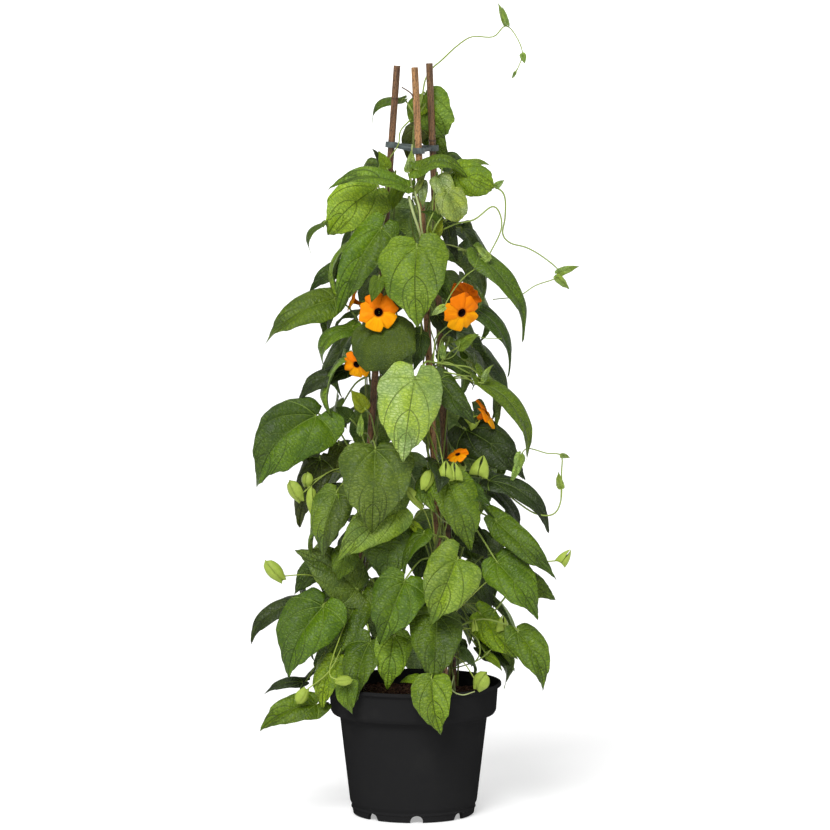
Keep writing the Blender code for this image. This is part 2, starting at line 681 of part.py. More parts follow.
def leaf_object(name, blade, start, group):
    """A leaf as one closed solid: its thin blade, and its stalk from a point on the stem.

    The blade is split into triangles alike on both faces. The stalk grows out of the
    rim's short side at the notch.
    """
    edge, rib = edge_points(blade.length)
    notch = STALK_RADIUS / blade.width
    count = len(edge)
    flat = [(0.0, -notch, 0.0)]
    flat += [(a, -b, WAVE[k % 2]) for k, (a, b) in enumerate(edge)]
    flat.append((1.0, 0.0, 0.0))
    flat += [(a, b, WAVE[(k + 1) % 2]) for k, (a, b) in reversed(list(enumerate(edge)))]
    flat.append((0.0, notch, 0.0))
    rim = len(flat)
    tip = count + 1
    flat += [(a, 0.0, 0.0) for a in rib]
    ribs = list(range(rim, rim + len(rib)))
    left = list(range(1, tip + 1))
    right = list(range(rim - 2, tip - 1, -1))
    faces = list(zip_chains(left, [0] + ribs, flat))
    faces += [tuple(reversed(face)) for face in zip_chains(right, [rim - 1] + ribs, flat)]
    faces.append((0, ribs[0], rim - 1))
    shape = bmesh.new()
    half = blade.normal * (BLADE_THICK / 2.0)
    middles = [blade.at(a, b, wave) for a, b, wave in flat]
    upper = [shape.verts.new(spot + half) for spot in middles]
    lower = [shape.verts.new(spot - half) for spot in middles]
    for corners in faces:
        shape.faces.new([upper[k] for k in corners])
        shape.faces.new([lower[k] for k in reversed(corners)])
    for k in range(rim - 1):
        shape.faces.new((upper[k], lower[k], lower[k + 1]))
        shape.faces.new((upper[k], lower[k + 1], upper[k + 1]))
    ring = [upper[0], upper[rim - 1], lower[rim - 1], lower[0]]
    base = blade.at(0.0, 0.0)
    knee = blade.at(-STALK_KNEE / blade.length, 0.0)
    reach = (knee - start).length
    points = [base, knee, start]
    if reach > STALK_BENT_FROM:
        points.insert(2, (start + knee) / 2.0 + up(STALK_RISE * reach))
    sweep(shape, ring, points, blade)
    return from_bmesh(name, shape, group)


def sweep(shape, ring, points, blade):
    """Carry a ring of four corners along points, and close it at the end."""
    across = blade.across
    side = blade.normal
    way = -blade.along
    for k in range(1, len(points)):
        step = (points[k] - points[k - 1]).normalized()
        after = (points[k + 1] - points[k]).normalized() if k + 1 < len(points) else step
        facing = (step + after).normalized()
        turn = way.rotation_difference(facing)
        across = turn @ across
        side = turn @ side
        way = facing
        nextring = []
        for u, v in ((-1.0, 1.0), (1.0, 1.0), (1.0, -1.0), (-1.0, -1.0)):
            offset = (across * u + side * v) * STALK_HALF
            nextring.append(shape.verts.new(points[k] + offset))
        for i in range(4):
            j = (i + 1) % 4
            shape.faces.new((ring[i], ring[j], nextring[j]))
            shape.faces.new((ring[i], nextring[j], nextring[i]))
        ring = nextring
    shape.faces.new(ring)


def zip_chains(chain, ribs, flat):
    """Triangles between the outline and the rib, stepping along whichever lags."""
    i = 0
    j = 0
    while i < len(chain) - 1 or j < len(ribs) - 1:
        step_rib = i == len(chain) - 1
        if not step_rib and j < len(ribs) - 1:
            step_rib = flat[ribs[j + 1]][0] < flat[chain[i + 1]][0]
        if step_rib:
            yield chain[i], ribs[j + 1], ribs[j]
            j += 1
        else:
            yield chain[i], chain[i + 1], ribs[j]
            i += 1


class Stem:
    """A stem, with the spots that leaves can grow from."""

    def __init__(self, side):
        self.cane_at, _ = cane_line(side)
        self.points = stem_points(side)
        self.spots = []
        self.uses = []
        for low, high in zip(self.points[3:], self.points[4:]):
            for share in SPOT_SHARES:
                self.spots.append(low.lerp(high, share))
                self.uses.append(0)

    def spot(self, target):
        """A spot near the target, on its side of the cane, that carries little else."""
        best = None
        for k, spot in enumerate(self.spots):
            middle = self.cane_at(spot.z)
            out = (spot - middle).normalized()
            way = target - middle
            flat = Vector((way.x, way.y, 0.0)).normalized()
            cost = (spot - target).length + FAR_SIDE_COST * (1.0 - out.dot(flat))
            cost += SHARED_COST * self.uses[k]
            if best is None or cost < best[0]:
                best = (cost, k)
        self.uses[best[1]] += 1
        return self.spots[best[1]]


def stalk_points(start, sink):
    """A stalk that rises from the stem, bends over and sinks into what it carries."""
    middle = (start + sink) / 2.0 + up(STALK_RISE * (sink - start).length)
    return [start, middle, sink]


def seen_leaves(side):
    """The blades of the front that grow from a cane's stem."""
    for name, cane, bx, bz, tx, tz, width, depth, nearer, turn, arch in LEAVES:
        if cane == side:
            base = seen(bx, bz, depth)
            tip = seen(tx, tz, depth - nearer)
            wide = width / math.cos(math.radians(turn))
            yield name, Blade(base, tip, wide, TO_EYE, turn, arch)


def cane_towards(degrees):
    """The cane whose stem carries the leaves of a direction."""
    if degrees < 0.0:
        return "front"
    return "right" if degrees < BACK_SPLIT else "left"


def back_leaves(side):
    """The blades of the sides and the back that grow from a cane's stem."""
    rng = random.Random(BACK_SEED)
    for row, (height, count, first, last, length) in enumerate(BACK_ROWS):
        for k in range(count):
            degrees = first + (last - first) * k / (count - 1) + rng.uniform(-5.0, 5.0)
            size = length * rng.uniform(0.9, 1.08)
            lower = rng.uniform(-9.0, 9.0)
            turn = rng.uniform(-14.0, 14.0)
            lean = rng.uniform(-0.12, 0.12)
            if side != cane_towards(degrees):
                continue
            out = around(degrees)
            z = height + lower
            radius = BACK_RADIUS - BACK_TAPER * (z - SOIL_TOP) + BACK_STAGGER * (k % 2)
            base = out * radius + up(z)
            way = out * BACK_LEAN + around(degrees + 90.0) * lean - up(BACK_DROP)
            tip = base + way.normalized() * size
            name = "back_%d_%d" % (row, k)
            yield name, Blade(base, tip, size * BACK_WIDTH, out, turn, BACK_ARCH)


def bud_object(name, base, tip, width, group):
    """A folded pair of bracts, as one pointed body."""
    axis = tip - base
    shape = bmesh.new()
    turn = axis.to_track_quat("Z", "Y").to_matrix()
    layers = []
    for share, radius in BUD_RINGS:
        layer = []
        for k in range(BUD_SIDES):
            out = around(360.0 / BUD_SIDES * k)
            flat = Vector((out.x, out.y * BUD_FLATNESS, 0.0)) * (radius * width)
            layer.append(shape.verts.new(base + axis * share + turn @ flat))
        layers.append(layer)
    top = shape.verts.new(tip)
    shape.faces.new(list(reversed(layers[0])))
    for k in range(BUD_SIDES):
        other = (k + 1) % BUD_SIDES
        for low, high in zip(layers, layers[1:]):
            shape.faces.new((low[k], low[other], high[other], high[k]))
        shape.faces.new((layers[-1][k], layers[-1][other], top))
    bmesh.ops.triangulate(shape, faces=shape.faces)
    return from_bmesh(name, shape, group)


def add_bud(name, base, tip, width, stem, group):
    """A bud with its stalk."""
    bud_object(name, base, tip, width, group)
    start = stem.spot(base)
    sink = base + (tip - base) * BUD_SINK
    tube(name + "_stalk", stalk_points(start, sink), STALK_RADIUS, group)


def add_bracts(name, eye, facing, stem, group):
    """The green bracts that a bloom sits in, with their stalk."""
    front = eye - facing * (BLOOM_TUBE + GAP)
    back = front - facing * BRACT_LENGTH
    shape = bmesh.new()
    bmesh.ops.create_cone(shape, cap_ends=True, cap_tris=True, segments=BUD_SIDES,
                          radius1=STALK_RADIUS, radius2=BRACT_RADIUS, depth=BRACT_LENGTH)
    turn = facing.to_track_quat("Z", "Y").to_matrix().to_4x4()
    turn.translation = (front + back) / 2.0
    bmesh.ops.transform(shape, matrix=turn, verts=shape.verts)
    from_bmesh(name + "_bracts", shape, group)
    start = stem.spot(back)
    sink = back + facing * (BRACT_LENGTH * BRACT_SINK)
    tube(name + "_stalk", stalk_points(start, sink), STALK_RADIUS, group)


def petal_angle(k):
    """The direction in degrees of a corner of the bloom's outline."""
    each = len(PETAL_OUTLINE)
    _, part = PETAL_OUTLINE[k % each]
    return 360.0 * (k // each + part) / PETALS


def make_bloom(name, eye, facing, diameter, parts):
    """A bloom with five petals, a funnel behind and a pit in its middle."""
    turn = facing.to_track_quat("Z", "Y").to_matrix()
    shape = bmesh.new()
    each = len(PETAL_OUTLINE)
    count = PETALS * each

    def corner(degrees, radius, lift):
        return shape.verts.new(eye + turn @ (around(degrees) * radius + up(lift)))

    def throat(lift, radius):
        return [corner(petal_angle(k), radius, lift) for k in range(count)]

    def limb(height):
        layer = []
        for k in range(count):
            reach, _ = PETAL_OUTLINE[k % each]
            dip = PETAL_DIP if k % each == 0 else 0.0
            layer.append(corner(petal_angle(k), reach * diameter / 2.0, height - dip))
        return layer

    half = BLOOM_THICK / 2.0
    rings = (throat(*THROAT_BACK), limb(-half), limb(half), throat(*THROAT_FRONT))
    foot = [corner(petal_angle(each * k), BLOOM_TUBE_RADIUS, -BLOOM_TUBE) for k in range(PETALS)]
    pit = corner(0.0, 0.0, -BLOOM_PIT)
    shape.faces.new(list(reversed(foot)))
    for k in range(count):
        other = (k + 1) % count
        shape.faces.new((rings[-1][k], rings[-1][other], pit))
        shape.faces.new((foot[k // each], rings[0][other], rings[0][k]))
        for low, high in zip(rings, rings[1:]):
            shape.faces.new((low[k], low[other], high[other]))
            shape.faces.new((low[k], high[other], high[k]))
    for k in range(PETALS):
        other = (k + 1) % PETALS
        shape.faces.new((foot[k], foot[other], rings[0][each * other]))
    bloom = from_bmesh(name, shape, parts)
    bloom.data.materials.append(material(name + "_petal", COLOURS["bloom"], 0.6))
    return bloom


def add_shoots(side, stem, group):
    """The free shoots of a cane's stem, with their small leaves."""
    for name, cane, places in SHOOTS:
        if cane != side:
            continue
        points = [seen(*place) for place in places]
        start = stem.points[-1] if name == "top_shoot" else stem.spot(points[0])
        tube(name, [start] + points, SHOOT_RADIUS, group)
        for k, (shoot, bx, bz, tx, tz, width, depth) in enumerate(SHOOT_LEAVES):
            if shoot != name:
                continue
            base = seen(bx, bz, depth)
            tip = seen(tx, tz, depth)
            blade = Blade(base, tip, width, TO_EYE, 0.0, SHOOT_ARCH)
            near = min(points, key=lambda spot: (spot - base).length)
            leaf_object(name + "_leaf_%d" % k, blade, near, group)


def make_vine(side, parts):
    """One leafy stem: its stem, leaves, buds, bracts and free shoots, fused."""
    group = collection("vine_pieces_" + side)
    stem = Stem(side)
    tube("stem_" + side, stem.points, STEM_RADIUS, group)
    for name, blade in list(seen_leaves(side)) + list(back_leaves(side)):
        leaf_object(name, blade, stem.spot(blade.base), group)
    for name, cane, bx, bz, tx, tz, width, depth in BUDS:
        if cane == side:
            add_bud(name, seen(bx, bz, depth), seen(tx, tz, depth), width, stem, group)
    for name, cane, x, z, depth, _, facing in BLOOMS:
        if cane == side:
            add_bracts(name, seen(x, z, depth), Vector(facing).normalized(), stem, group)
    add_shoots(side, stem, group)
    curves_to_meshes(group)
    vine = next(item for item in group.objects if item.name.startswith("stem_"))
    group.objects.unlink(vine)
    parts.objects.link(vine)
    vine.name = "vine_" + side
    boolean(vine, "UNION", "MANIFOLD", group=group)
    empty_collection(group)
    drop_scraps(vine)
    vine.data.materials.append(material("leaf_" + side, COLOURS["leaf"], 0.5))
    return vine


def make_holes(soil):
    """Plain holes in the soil for the canes and the stems."""
    cutters = collection("holes")
    for side in CANES:
        at, _ = cane_line(side)
        high = SOIL_TOP + HOLE_PAST
        rod("hole", at(CANE_FOOT - GAP), at(high), CANE_RADIUS + GAP, CANE_SIDES, cutters)
        foot = stem_points(side)[0]
        top = Vector((foot.x, foot.y, high))
        rod("hole", foot - up(GAP), top, STEM_RADIUS + STEM_HOLE_GAP, STEM_HOLE_SIDES, cutters)
    boolean(soil, "DIFFERENCE", "EXACT", group=cutters)
    empty_collection(cutters)


def build():
    """Make the whole plant in its pot."""
    clear_scene()
    parts = collection("potted_black_eyed_susan_vine")
    make_pot(parts)
    soil = make_soil(parts)
    make_canes(parts)
    make_clip(parts)
    make_holes(soil)
    for side in CANES:
        make_vine(side, parts)
    for name, _, x, z, depth, diameter, facing in BLOOMS:
        make_bloom(name, seen(x, z, depth), Vector(facing).normalized(), diameter, parts)
    for part in parts.objects:
        shade_round(part)


build()
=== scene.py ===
"""The finished look of the potted black-eyed susan vine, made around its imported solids.

Sizes are in millimetres until a mesh is made, with Z up and the floor at zero. The
tables of places follow those of the solids, and a few leaves, buds and blooms were moved
nearer to the photograph afterwards. Places marked as seen are read square on to the plane
through the pot's axis, and seen() moves them to their real depth.
"""
import json
import math
import random

import bmesh
import bpy
import numpy as np
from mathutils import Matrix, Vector, noise

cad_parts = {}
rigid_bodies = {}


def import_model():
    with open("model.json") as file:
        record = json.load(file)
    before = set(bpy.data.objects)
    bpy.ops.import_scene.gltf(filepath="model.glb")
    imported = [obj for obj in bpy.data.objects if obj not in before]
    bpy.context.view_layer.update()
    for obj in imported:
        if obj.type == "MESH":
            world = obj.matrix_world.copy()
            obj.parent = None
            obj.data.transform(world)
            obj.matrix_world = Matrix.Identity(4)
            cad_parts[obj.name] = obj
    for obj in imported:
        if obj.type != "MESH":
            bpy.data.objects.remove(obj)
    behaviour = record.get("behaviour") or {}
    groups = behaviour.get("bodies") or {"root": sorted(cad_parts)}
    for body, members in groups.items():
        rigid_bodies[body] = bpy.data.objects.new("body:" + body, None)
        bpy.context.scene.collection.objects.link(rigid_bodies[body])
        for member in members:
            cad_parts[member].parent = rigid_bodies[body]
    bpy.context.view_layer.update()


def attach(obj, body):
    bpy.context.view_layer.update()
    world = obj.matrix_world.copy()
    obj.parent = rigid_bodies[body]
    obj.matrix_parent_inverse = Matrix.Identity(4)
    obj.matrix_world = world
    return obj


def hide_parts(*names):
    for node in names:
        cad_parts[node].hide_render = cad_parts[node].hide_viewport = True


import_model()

MM = 0.001

# The eye that the seen places belong to, which is also the camera
EYE_DISTANCE = 3500.0
EYE_HEIGHT = 640.0
EYE_X = 1.3
TO_EYE = Vector((0.0, -1.0, 0.0))
AIM_HEIGHT = 346.0
LENS = 177.1
SENSOR = 36.0

GAP = 0.3

# Pot, as in the solids
RIM_RADIUS = 76.0
POT_HEIGHT = 115.0
POT_WALL = 1.5
RIM_BEAD = 3.0
RIM_WIDTH = 2.6
EASE = 1.2
BAND_TOP_RADIUS = 73.0
BAND_FOOT_RADIUS = 71.0
BAND_FOOT = 88.0
BODY_TOP_RADIUS = 63.5
BODY_TOP = 85.0
BODY_FOOT_RADIUS = 55.0
BODY_FOOT = 12.0
FOOT_RADIUS = 52.0
FOOT_WIDTH = 3.0
FLOOR_LOW = 7.0
FLOOR_HIGH = 9.0
NOTCHES = 8
NOTCH_RADIUS = 5.5
NOTCH_RAISE = 1.2
NOTCH_INNER = 43.0
NOTCH_OUTER = 58.0
NOTCH_TURN = -87.0
DRAIN_RADIUS = 4.0
DRAIN_RING = 38.0
CUT_PAST = 2.0
# Soil
SOIL_TOP = 103.0
SOIL_SEED = 5
# Canes, each from where it enters the soil to its cut top: x and height as seen, depth
CANE_RADIUS = 3.0
CANES = {
    "left": ((-53.0, 103.0, 0.0), (-14.0, 645.5, 0.0)),
    "front": ((27.6, 103.0, -44.5), (1.0, 644.0, -14.0)),
    "right": ((35.0, 103.0, 40.0), (13.5, 647.5, 10.0)),
}
# Clip that holds the canes together
CLIP_HEIGHTS = {"left": 578.0, "front": 573.0, "right": 575.0}
CLIP_RING_RADIUS = 5.2
CLIP_RING_HEIGHT = 5.0
CLIP_BAR_HEIGHT = 3.6
CLIP_BAR_THICK = 2.4
CLIP_CLEARANCE = 0.35
CLIP_BORE_REACH = 9.0
# Stems, which twine up the canes
STEM_RADIUS = 1.3
STEM_REACH = 5.5
STEM_PITCH = 108.0
STEM_POINTS_A_TURN = 6
STEM_START = 124.0
STEM_FOOT = 88.0
STEM_RISE = 8.0
STEM_INWARD = 3.0
STEM_TOPS = {"left": 556.0, "front": 552.0, "right": 536.0}
STEM_TIPS = {"left": (), "front": ((0, 568, -4), (0, 588, -3), (3, 606, -2)), "right": ()}
STEM_TURNS = {"left": 20.0, "front": 230.0, "right": 120.0}
STALK_RISE = 0.16
STALK_KNEE = 3.0
STALK_BENT_FROM = 34.0
SHOOT_ARCH = 0.08
# Where a piece of stem carries leaves, as shares of its length
SPOT_SHARES = (0.25, 0.75)
# What a stem's spot costs a leaf that looks for one, as millimetres of distance
FAR_SIDE_COST = 34.0
SHARED_COST = 14.0
# Leaves as seen: name, cane, base x and height, tip x and height, width, depth of the
# base, how much nearer the tip is, turn to the right in degrees, arch as share of length,
# tone, how far the halves rise beside the midrib as a share of width, how far the tip
# curls down
LEAVES = (
    ("top_curl", "front", -10, 615, -37, 597, 8, 15, 0, -62, 0.25, "green", 0.3, 0.6),
    ("top_right", "front", 10, 620, 26, 585, 38, 24, 6, -6, 0.12, "fresh", 0.3, 0.6),
    ("top_back", "front", 10, 597, 31, 564, 26, 27, 0, 0, 0.1, "mid", 0.24, 0.2),
    ("pair_light", "left", -23, 558, -30, 573, 11, -10, 2, -10, 0.1, "bright", 0.2, 0.2),
    ("upper_left", "front", -5, 541, -73, 545, 15, -34, 4, -58, 0.17, "bluish", 0.3, 0.5),
    ("under_left", "left", -32, 540, -74, 502, 45, -13, 8, -12, 0.12, "fresh", 0.2, 0.7),
    ("upper_right", "front", 4, 556, 46, 553, 17, -37, 4, 50, 0.22, "mid", 0.3, 0.4),
    ("round_right", "front", 35, 554, 69, 541, 30, -32, 4, 10, 0.12, "bright", 0.1, 0.2),
    ("shoot_two", "front", 21, 551, 31, 530, 19, -42, 2, 10, 0.1, "young", 0.5, 0.1),
    ("shoot_three", "front", 29, 538, 38, 512, 25, -44, 4, 10, 0.1, "young", 0.5, 0.2),
    ("dark_right", "front", 28, 511, 38, 478, 14, -26, 2, 20, 0.1, "dark", 0.2, 0.2),
    ("long_right", "front", 56, 482, 98, 411, 17, -32, 6, 58, 0.14, "green", 0.24, 0.4),
    ("hidden_right", "right", 50, 440, 84, 380, 16, -16, 6, 58, 0.14, "deep", 0.24, 0.3),
    ("broad_left", "left", -28, 506, -66, 433, 35, -34, 10, -12, 0.1, "mid", 0.26, 0.4),
    ("far_left", "left", -68, 445, -129, 409, 25, -20, 2, -42, 0.16, "mid", 0.3, 0.5),
    ("far_left_dark", "left", -52, 474, -90, 452, 18, -4, 0, -30, 0.12, "deep", 0.2, 0.2),
    ("bloom_cover", "left", -30, 463, -36, 443, 14, -66, 2, -10, 0.1, "mid", 0.3, 0.1),
    ("broad_centre", "front", 3, 490, 4, 421, 59, -62, 10, 0, 0.1, "bluish", 0.12, 0.2),
    ("flat_dark", "left", -28, 424, -21, 386, 54, -46, 18, -6, 0.1, "flat", 0.06, 0.3),
    ("arched_left", "left", -52, 420, -77, 384, 15, -26, 4, -52, 0.4, "mid", 0.24, 0.4),
    ("low_dark_left", "left", -56, 385, -102, 356, 13, -16, 2, -55, 0.16, "dark", 0.2, 0.3),
    ("big_left", "left", -84, 345, -136, 284, 64, -26, 8, -12, 0.12, "green", 0.2, 0.6),
    ("under_centre", "front", 6, 416, 0, 384, 16, -42, 4, 0, 0.1, "deep", 0.1, 0.1),
    ("pale_centre", "front", 1, 376, -9, 305, 57, -78, 8, 0, 0.08, "palest", 0.12, 0.2),
    ("long_mid_right", "front", 58, 375, 100, 307, 17, -38, 6, 58, 0.16, "mid", 0.24, 0.3),
    ("mid_dark", "front", 22, 376, 54, 338, 25, -50, 6, 20, 0.12, "deep", 0.2, 0.2),
    ("mid_behind", "front", 26, 396, 52, 371, 14, -30, 2, 20, 0.1, "deep", 0.2, 0.2),
    ("big_dark_right", "right", 45, 333, 97, 290, 38, -18, 6, 15, 0.12, "dark", 0.2, 0.2),
    ("lower_right", "right", 65, 289, 118, 245, 18, -36, 6, 52, 0.18, "dark", 0.2, 0.3),
    ("steep_right", "right", 64, 285, 93, 241, 12, -14, 4, 55, 0.14, "dark", 0.2, 0.3),
    ("olive_left", "left", -80, 308, -100, 249, 28, -6, 4, -35, 0.12, "olive", 0.2, 0.3),
    ("olive_small", "left", -64, 320, -74, 290, 16, -8, 2, -20, 0.1, "olive", 0.2, 0.2),
    ("blue_green", "left", -33, 316, -36, 243, 64, -66, 6, 0, 0.09, "grey", 0.18, 0.3),
    ("half_shaded", "left", -66, 278, -78, 222, 30, -40, 8, -25, 0.14, "grey", 0.22, 0.3),
    ("bright_low", "left", -15, 262, -67, 219, 35, -52, 6, -15, 0.1, "pale", 0.22, 0.3),
    ("peeking_tip", "left", -58, 228, -65, 202, 23, -38, 4, -10, 0.1, "mid", 0.2, 0.1),
    ("grey_up", "left", -50, 196, -103, 229, 38, -26, 4, -25, 0.1, "grey", 0.14, 0.1),
    ("deep_left", "left", -76, 220, -103, 190, 22, -4, 4, -25, 0.1, "deep", 0.2, 0.1),
    ("shaded_centre", "left", -16, 252, -24, 198, 54, -38, 6, -4, 0.1, "green", 0.12, 0.2),
    ("plain_right", "front", 30, 288, 50, 228, 42, -62, 8, 12, 0.1, "mid", 0.14, 0.4),
    ("spread_right", "front", 71, 254, 125, 204, 25, -42, 6, 25, 0.16, "green", 0.2, 0.4),
    ("low_right", "front", 72, 219, 109, 169, 38, -50, 8, 22, 0.12, "mid", 0.2, 0.4),
    ("low_right_back", "right", 92, 206, 123, 186, 22, -14, 2, 25, 0.1, "mid", 0.2, 0.2),
    ("deep_right", "right", 54, 208, 68, 177, 20, -16, 2, 15, 0.1, "dark", 0.2, 0.2),
    ("deep_centre", "right", 42, 249, 64, 222, 24, -14, 2, 10, 0.1, "dark", 0.2, 0.2),
    ("folded_pale", "front", 37, 220, 15, 164, 46, -80, 6, -8, 0.1, "pale", 0.34, 0.3),
    ("low_centre", "front", -8, 201, -30, 147, 45, -70, 8, -6, 0.1, "mid", 0.26, 0.4),
    ("hanging_dark", "front", 20, 172, 17, 110, 48, -62, 26, 4, 0.1, "green", 0.16, 0.3),
    ("rim_leaf", "front", 16, 116, 24, 68, 36, -90, 6, 4, 0.08, "bluish", 0.2, 0.3),
    ("soil_leaf", "left", -17, 155, -23, 107, 33, -54, 4, -6, 0.1, "bluish", 0.16, 0.2),
    ("left_fan", "left", -78, 180, -109, 118, 50, -36, 8, -22, 0.12, "green", 0.28, 0.4),
    ("left_fan_back", "left", -45, 190, -79, 125, 30, -24, 10, -20, 0.1, "green", 0.26, 0.4),
    ("left_low", "left", -38, 148, -50, 98, 34, -46, 20, -14, 0.1, "mid", 0.2, 0.4),
    ("left_yellow", "left", -68, 132, -79, 91, 26, -40, 10, -22, 0.1, "bright", 0.16, 0.2),
    ("left_hanging", "left", -57, 114, -53, 86, 20, -65, 2, -14, 0.1, "mid", 0.2, 0.2),
    ("bottom_left", "left", -84, 95, -134, 72, 26, -34, 4, -30, 0.14, "mid", 0.4, 0.3),
    ("dark_tip_left", "left", -96, 114, -131, 103, 9, -20, 2, -50, 0.12, "dark", 0.2, 0.3),
    ("high_tip_left", "left", -98, 183, -142, 149, 18, -10, 2, -45, 0.16, "dark", 0.2, 0.3),
    ("right_fan", "front", 90, 158, 113, 107, 28, -42, 8, 20, 0.12, "mid", 0.26, 0.4),
    ("right_yellow", "right", 58, 173, 91, 134, 27, -26, 4, 15, 0.1, "bright", 0.18, 0.2),
)
# Leaves of the sides and the back, in rows: height of the bases, count, first and last
# direction in degrees, where 90 is straight back, length of the blades
BACK_ROWS = (
    (560.0, 2, 50.0, 125.0, 46.0),
    (512.0, 3, 25.0, 160.0, 58.0),
    (462.0, 4, 20.0, 165.0, 62.0),
    (408.0, 4, 12.0, 150.0, 66.0),
    (352.0, 4, 22.0, 168.0, 70.0),
    (298.0, 4, 16.0, 150.0, 72.0),
    (244.0, 4, 30.0, 168.0, 72.0),
    (192.0, 4, 16.0, 156.0, 68.0),
    (144.0, 3, 24.0, 146.0, 52.0),
    (490.0, 2, -20.0, 200.0, 50.0),
    (392.0, 2, -16.0, 200.0, 54.0),
    (268.0, 2, -20.0, 200.0, 56.0),
)
BACK_SEED = 11
BACK_RADIUS = 72.0
BACK_TAPER = 0.07
BACK_STAGGER = 10.0
BACK_LEAN = 0.34
BACK_DROP = 0.9
BACK_SPLIT = 95.0
BACK_WIDTH = 0.76
BACK_ARCH = 0.14
# Buds as seen: name, cane, base x and height, tip x and height, width, depth
BUDS = (
    ("bud_tall", "front", 27, 292, 28, 307, 11, -72),
    ("bud_right", "front", 56, 294, 60, 311, 14, -52),
    ("bud_low", "front", 9, 282, 15, 299, 13, -66),
    ("bud_pale", "front", 7, 266, -6, 284, 9, -58),
    ("bud_left_one", "left", -97, 272, -107, 290, 13, -34),
    ("bud_left_two", "left", -92, 284, -91, 297, 11, -28),
    ("bud_far_left", "left", -113, 203, -128, 220, 13, -24),
    ("bud_rim_left", "left", -93, 108, -101, 95, 11, -48),
    ("bud_rim_pale", "left", -67, 115, -53, 116, 9, -75),
    ("bud_rim_right", "front", 55, 108, 63, 123, 15, -62),
    ("bud_far_right", "front", 127, 218, 136, 230, 9, -46),
    ("bud_young", "right", 77, 159, 77, 173, 10, -34),
)
# How far into a bud or a bloom's bracts the stalk reaches
BUD_SINK = 0.2
BRACT_SINK = 0.4
# Blooms as seen: name, cane, x and height of the eye, depth, diameter, facing direction
BLOOMS = (
    ("bloom_1", "left", -30.0, 434.5, -58.0, 35.0, (-0.05, -1.0, 0.1)),
    ("bloom_2", "front", 41.5, 434.0, -60.0, 35.0, (0.45, -0.85, -0.25)),
    ("bloom_3", "front", 45.0, 449.0, -36.0, 30.0, (0.35, 0.75, 0.5)),
    ("bloom_4", "left", -49.0, 389.5, -48.0, 27.0, (-0.4, -0.85, -0.3)),
    ("bloom_5", "left", -53.0, 445.0, -4.0, 22.0, (-0.9, -0.08, 0.4)),
    ("bloom_6", "front", 63.0, 347.5, -28.0, 31.0, (0.84, -0.14, 0.52)),
    ("bloom_7", "front", 38.0, 312.0, -46.0, 20.0, (-0.25, -0.5, 0.83)),
    ("bloom_8", "right", 14.0, 462.0, 84.0, 33.0, (0.2, 0.95, 0.1)),
    ("bloom_9", "left", -14.0, 345.0, 82.0, 34.0, (-0.2, 0.95, 0.0)),
    ("bloom_10", "right", 12.0, 218.0, 80.0, 33.0, (0.3, 0.94, 0.05)),
)
BLOOM_TUBE = 9.0
PETALS = 5
BRACT_LENGTH = 9.0
# Free shoots as seen: name, cane, points of x, height and depth from the stem outwards
SHOOTS = (
    ("top_shoot", "front", (
        (3, 606, -2), (7, 617, 6), (10, 633, 17), (16, 643, 20), (24, 650, 18), (37, 662, 12),
        (50, 670, 8), (68, 670, 5), (78, 679, 4), (86, 673, 2), (93, 657, 0), (89, 643, -1),
        (84, 635, -2))),
    ("right_shoot", "front", (
        (24, 548, -24), (50, 550, -9), (70, 542, -6), (78, 534, -8), (78.5, 516, -10),
        (76.5, 502, -12), (83, 494, -13), (97, 490, -14), (111, 482, -16), (124, 471, -18),
        (122.5, 464, -18), (104.7, 457.5, -16), (90, 448.5, -18), (68, 445.5, -22))),
    ("loop_shoot", "front", (
        (18, 499, -34), (35, 510, -44), (52, 514, -42), (67, 525, -36), (74, 519, -34),
        (75, 505, -34), (66, 486, -36), (62, 478, -40), (45, 466, -50), (34, 453, -74),
        (25, 437, -80))),
    ("low_shoot", "right", (
        (60, 292, -2), (75, 283, -28), (87, 272.6, -42), (104.5, 261, -46), (120, 260, -44),
        (127, 272, -42), (127.5, 296, -40), (127, 311, -38), (114.5, 313, -36),
        (98, 317, -36), (91, 309, -37))),
)
# Small leaves of the shoots: shoot, base x and height, tip x and height, width, depth
SHOOT_LEAVES = (
    ("top_shoot", 79, 681, 72, 699, 6, 4),
    ("right_shoot", 124, 468, 142.4, 474, 8, -18),
    ("loop_shoot", 64, 481, 53, 492, 8, -38),
    ("low_shoot", 127, 283, 125, 297, 7, -41),
    ("low_shoot", 92, 311, 88, 295, 10, -37),
    ("top_shoot", 80, 681, 76, 696, 5, 1),
    ("top_shoot", 93, 655, 95, 647, 6, 0),
    ("top_shoot", 87, 640, 84, 634, 3, -2),
    ("right_shoot", 70, 542, 78, 548, 6, -6),
    ("right_shoot", 123, 465, 134, 454, 8, -18),
    ("loop_shoot", 64, 481, 56, 478, 7, -38),
    ("loop_shoot", 26, 439, 15, 431, 7, -80),
    ("low_shoot", 127, 311, 135, 309, 5, -38),
    ("low_shoot", 92, 311, 81, 284, 6, -36),
)

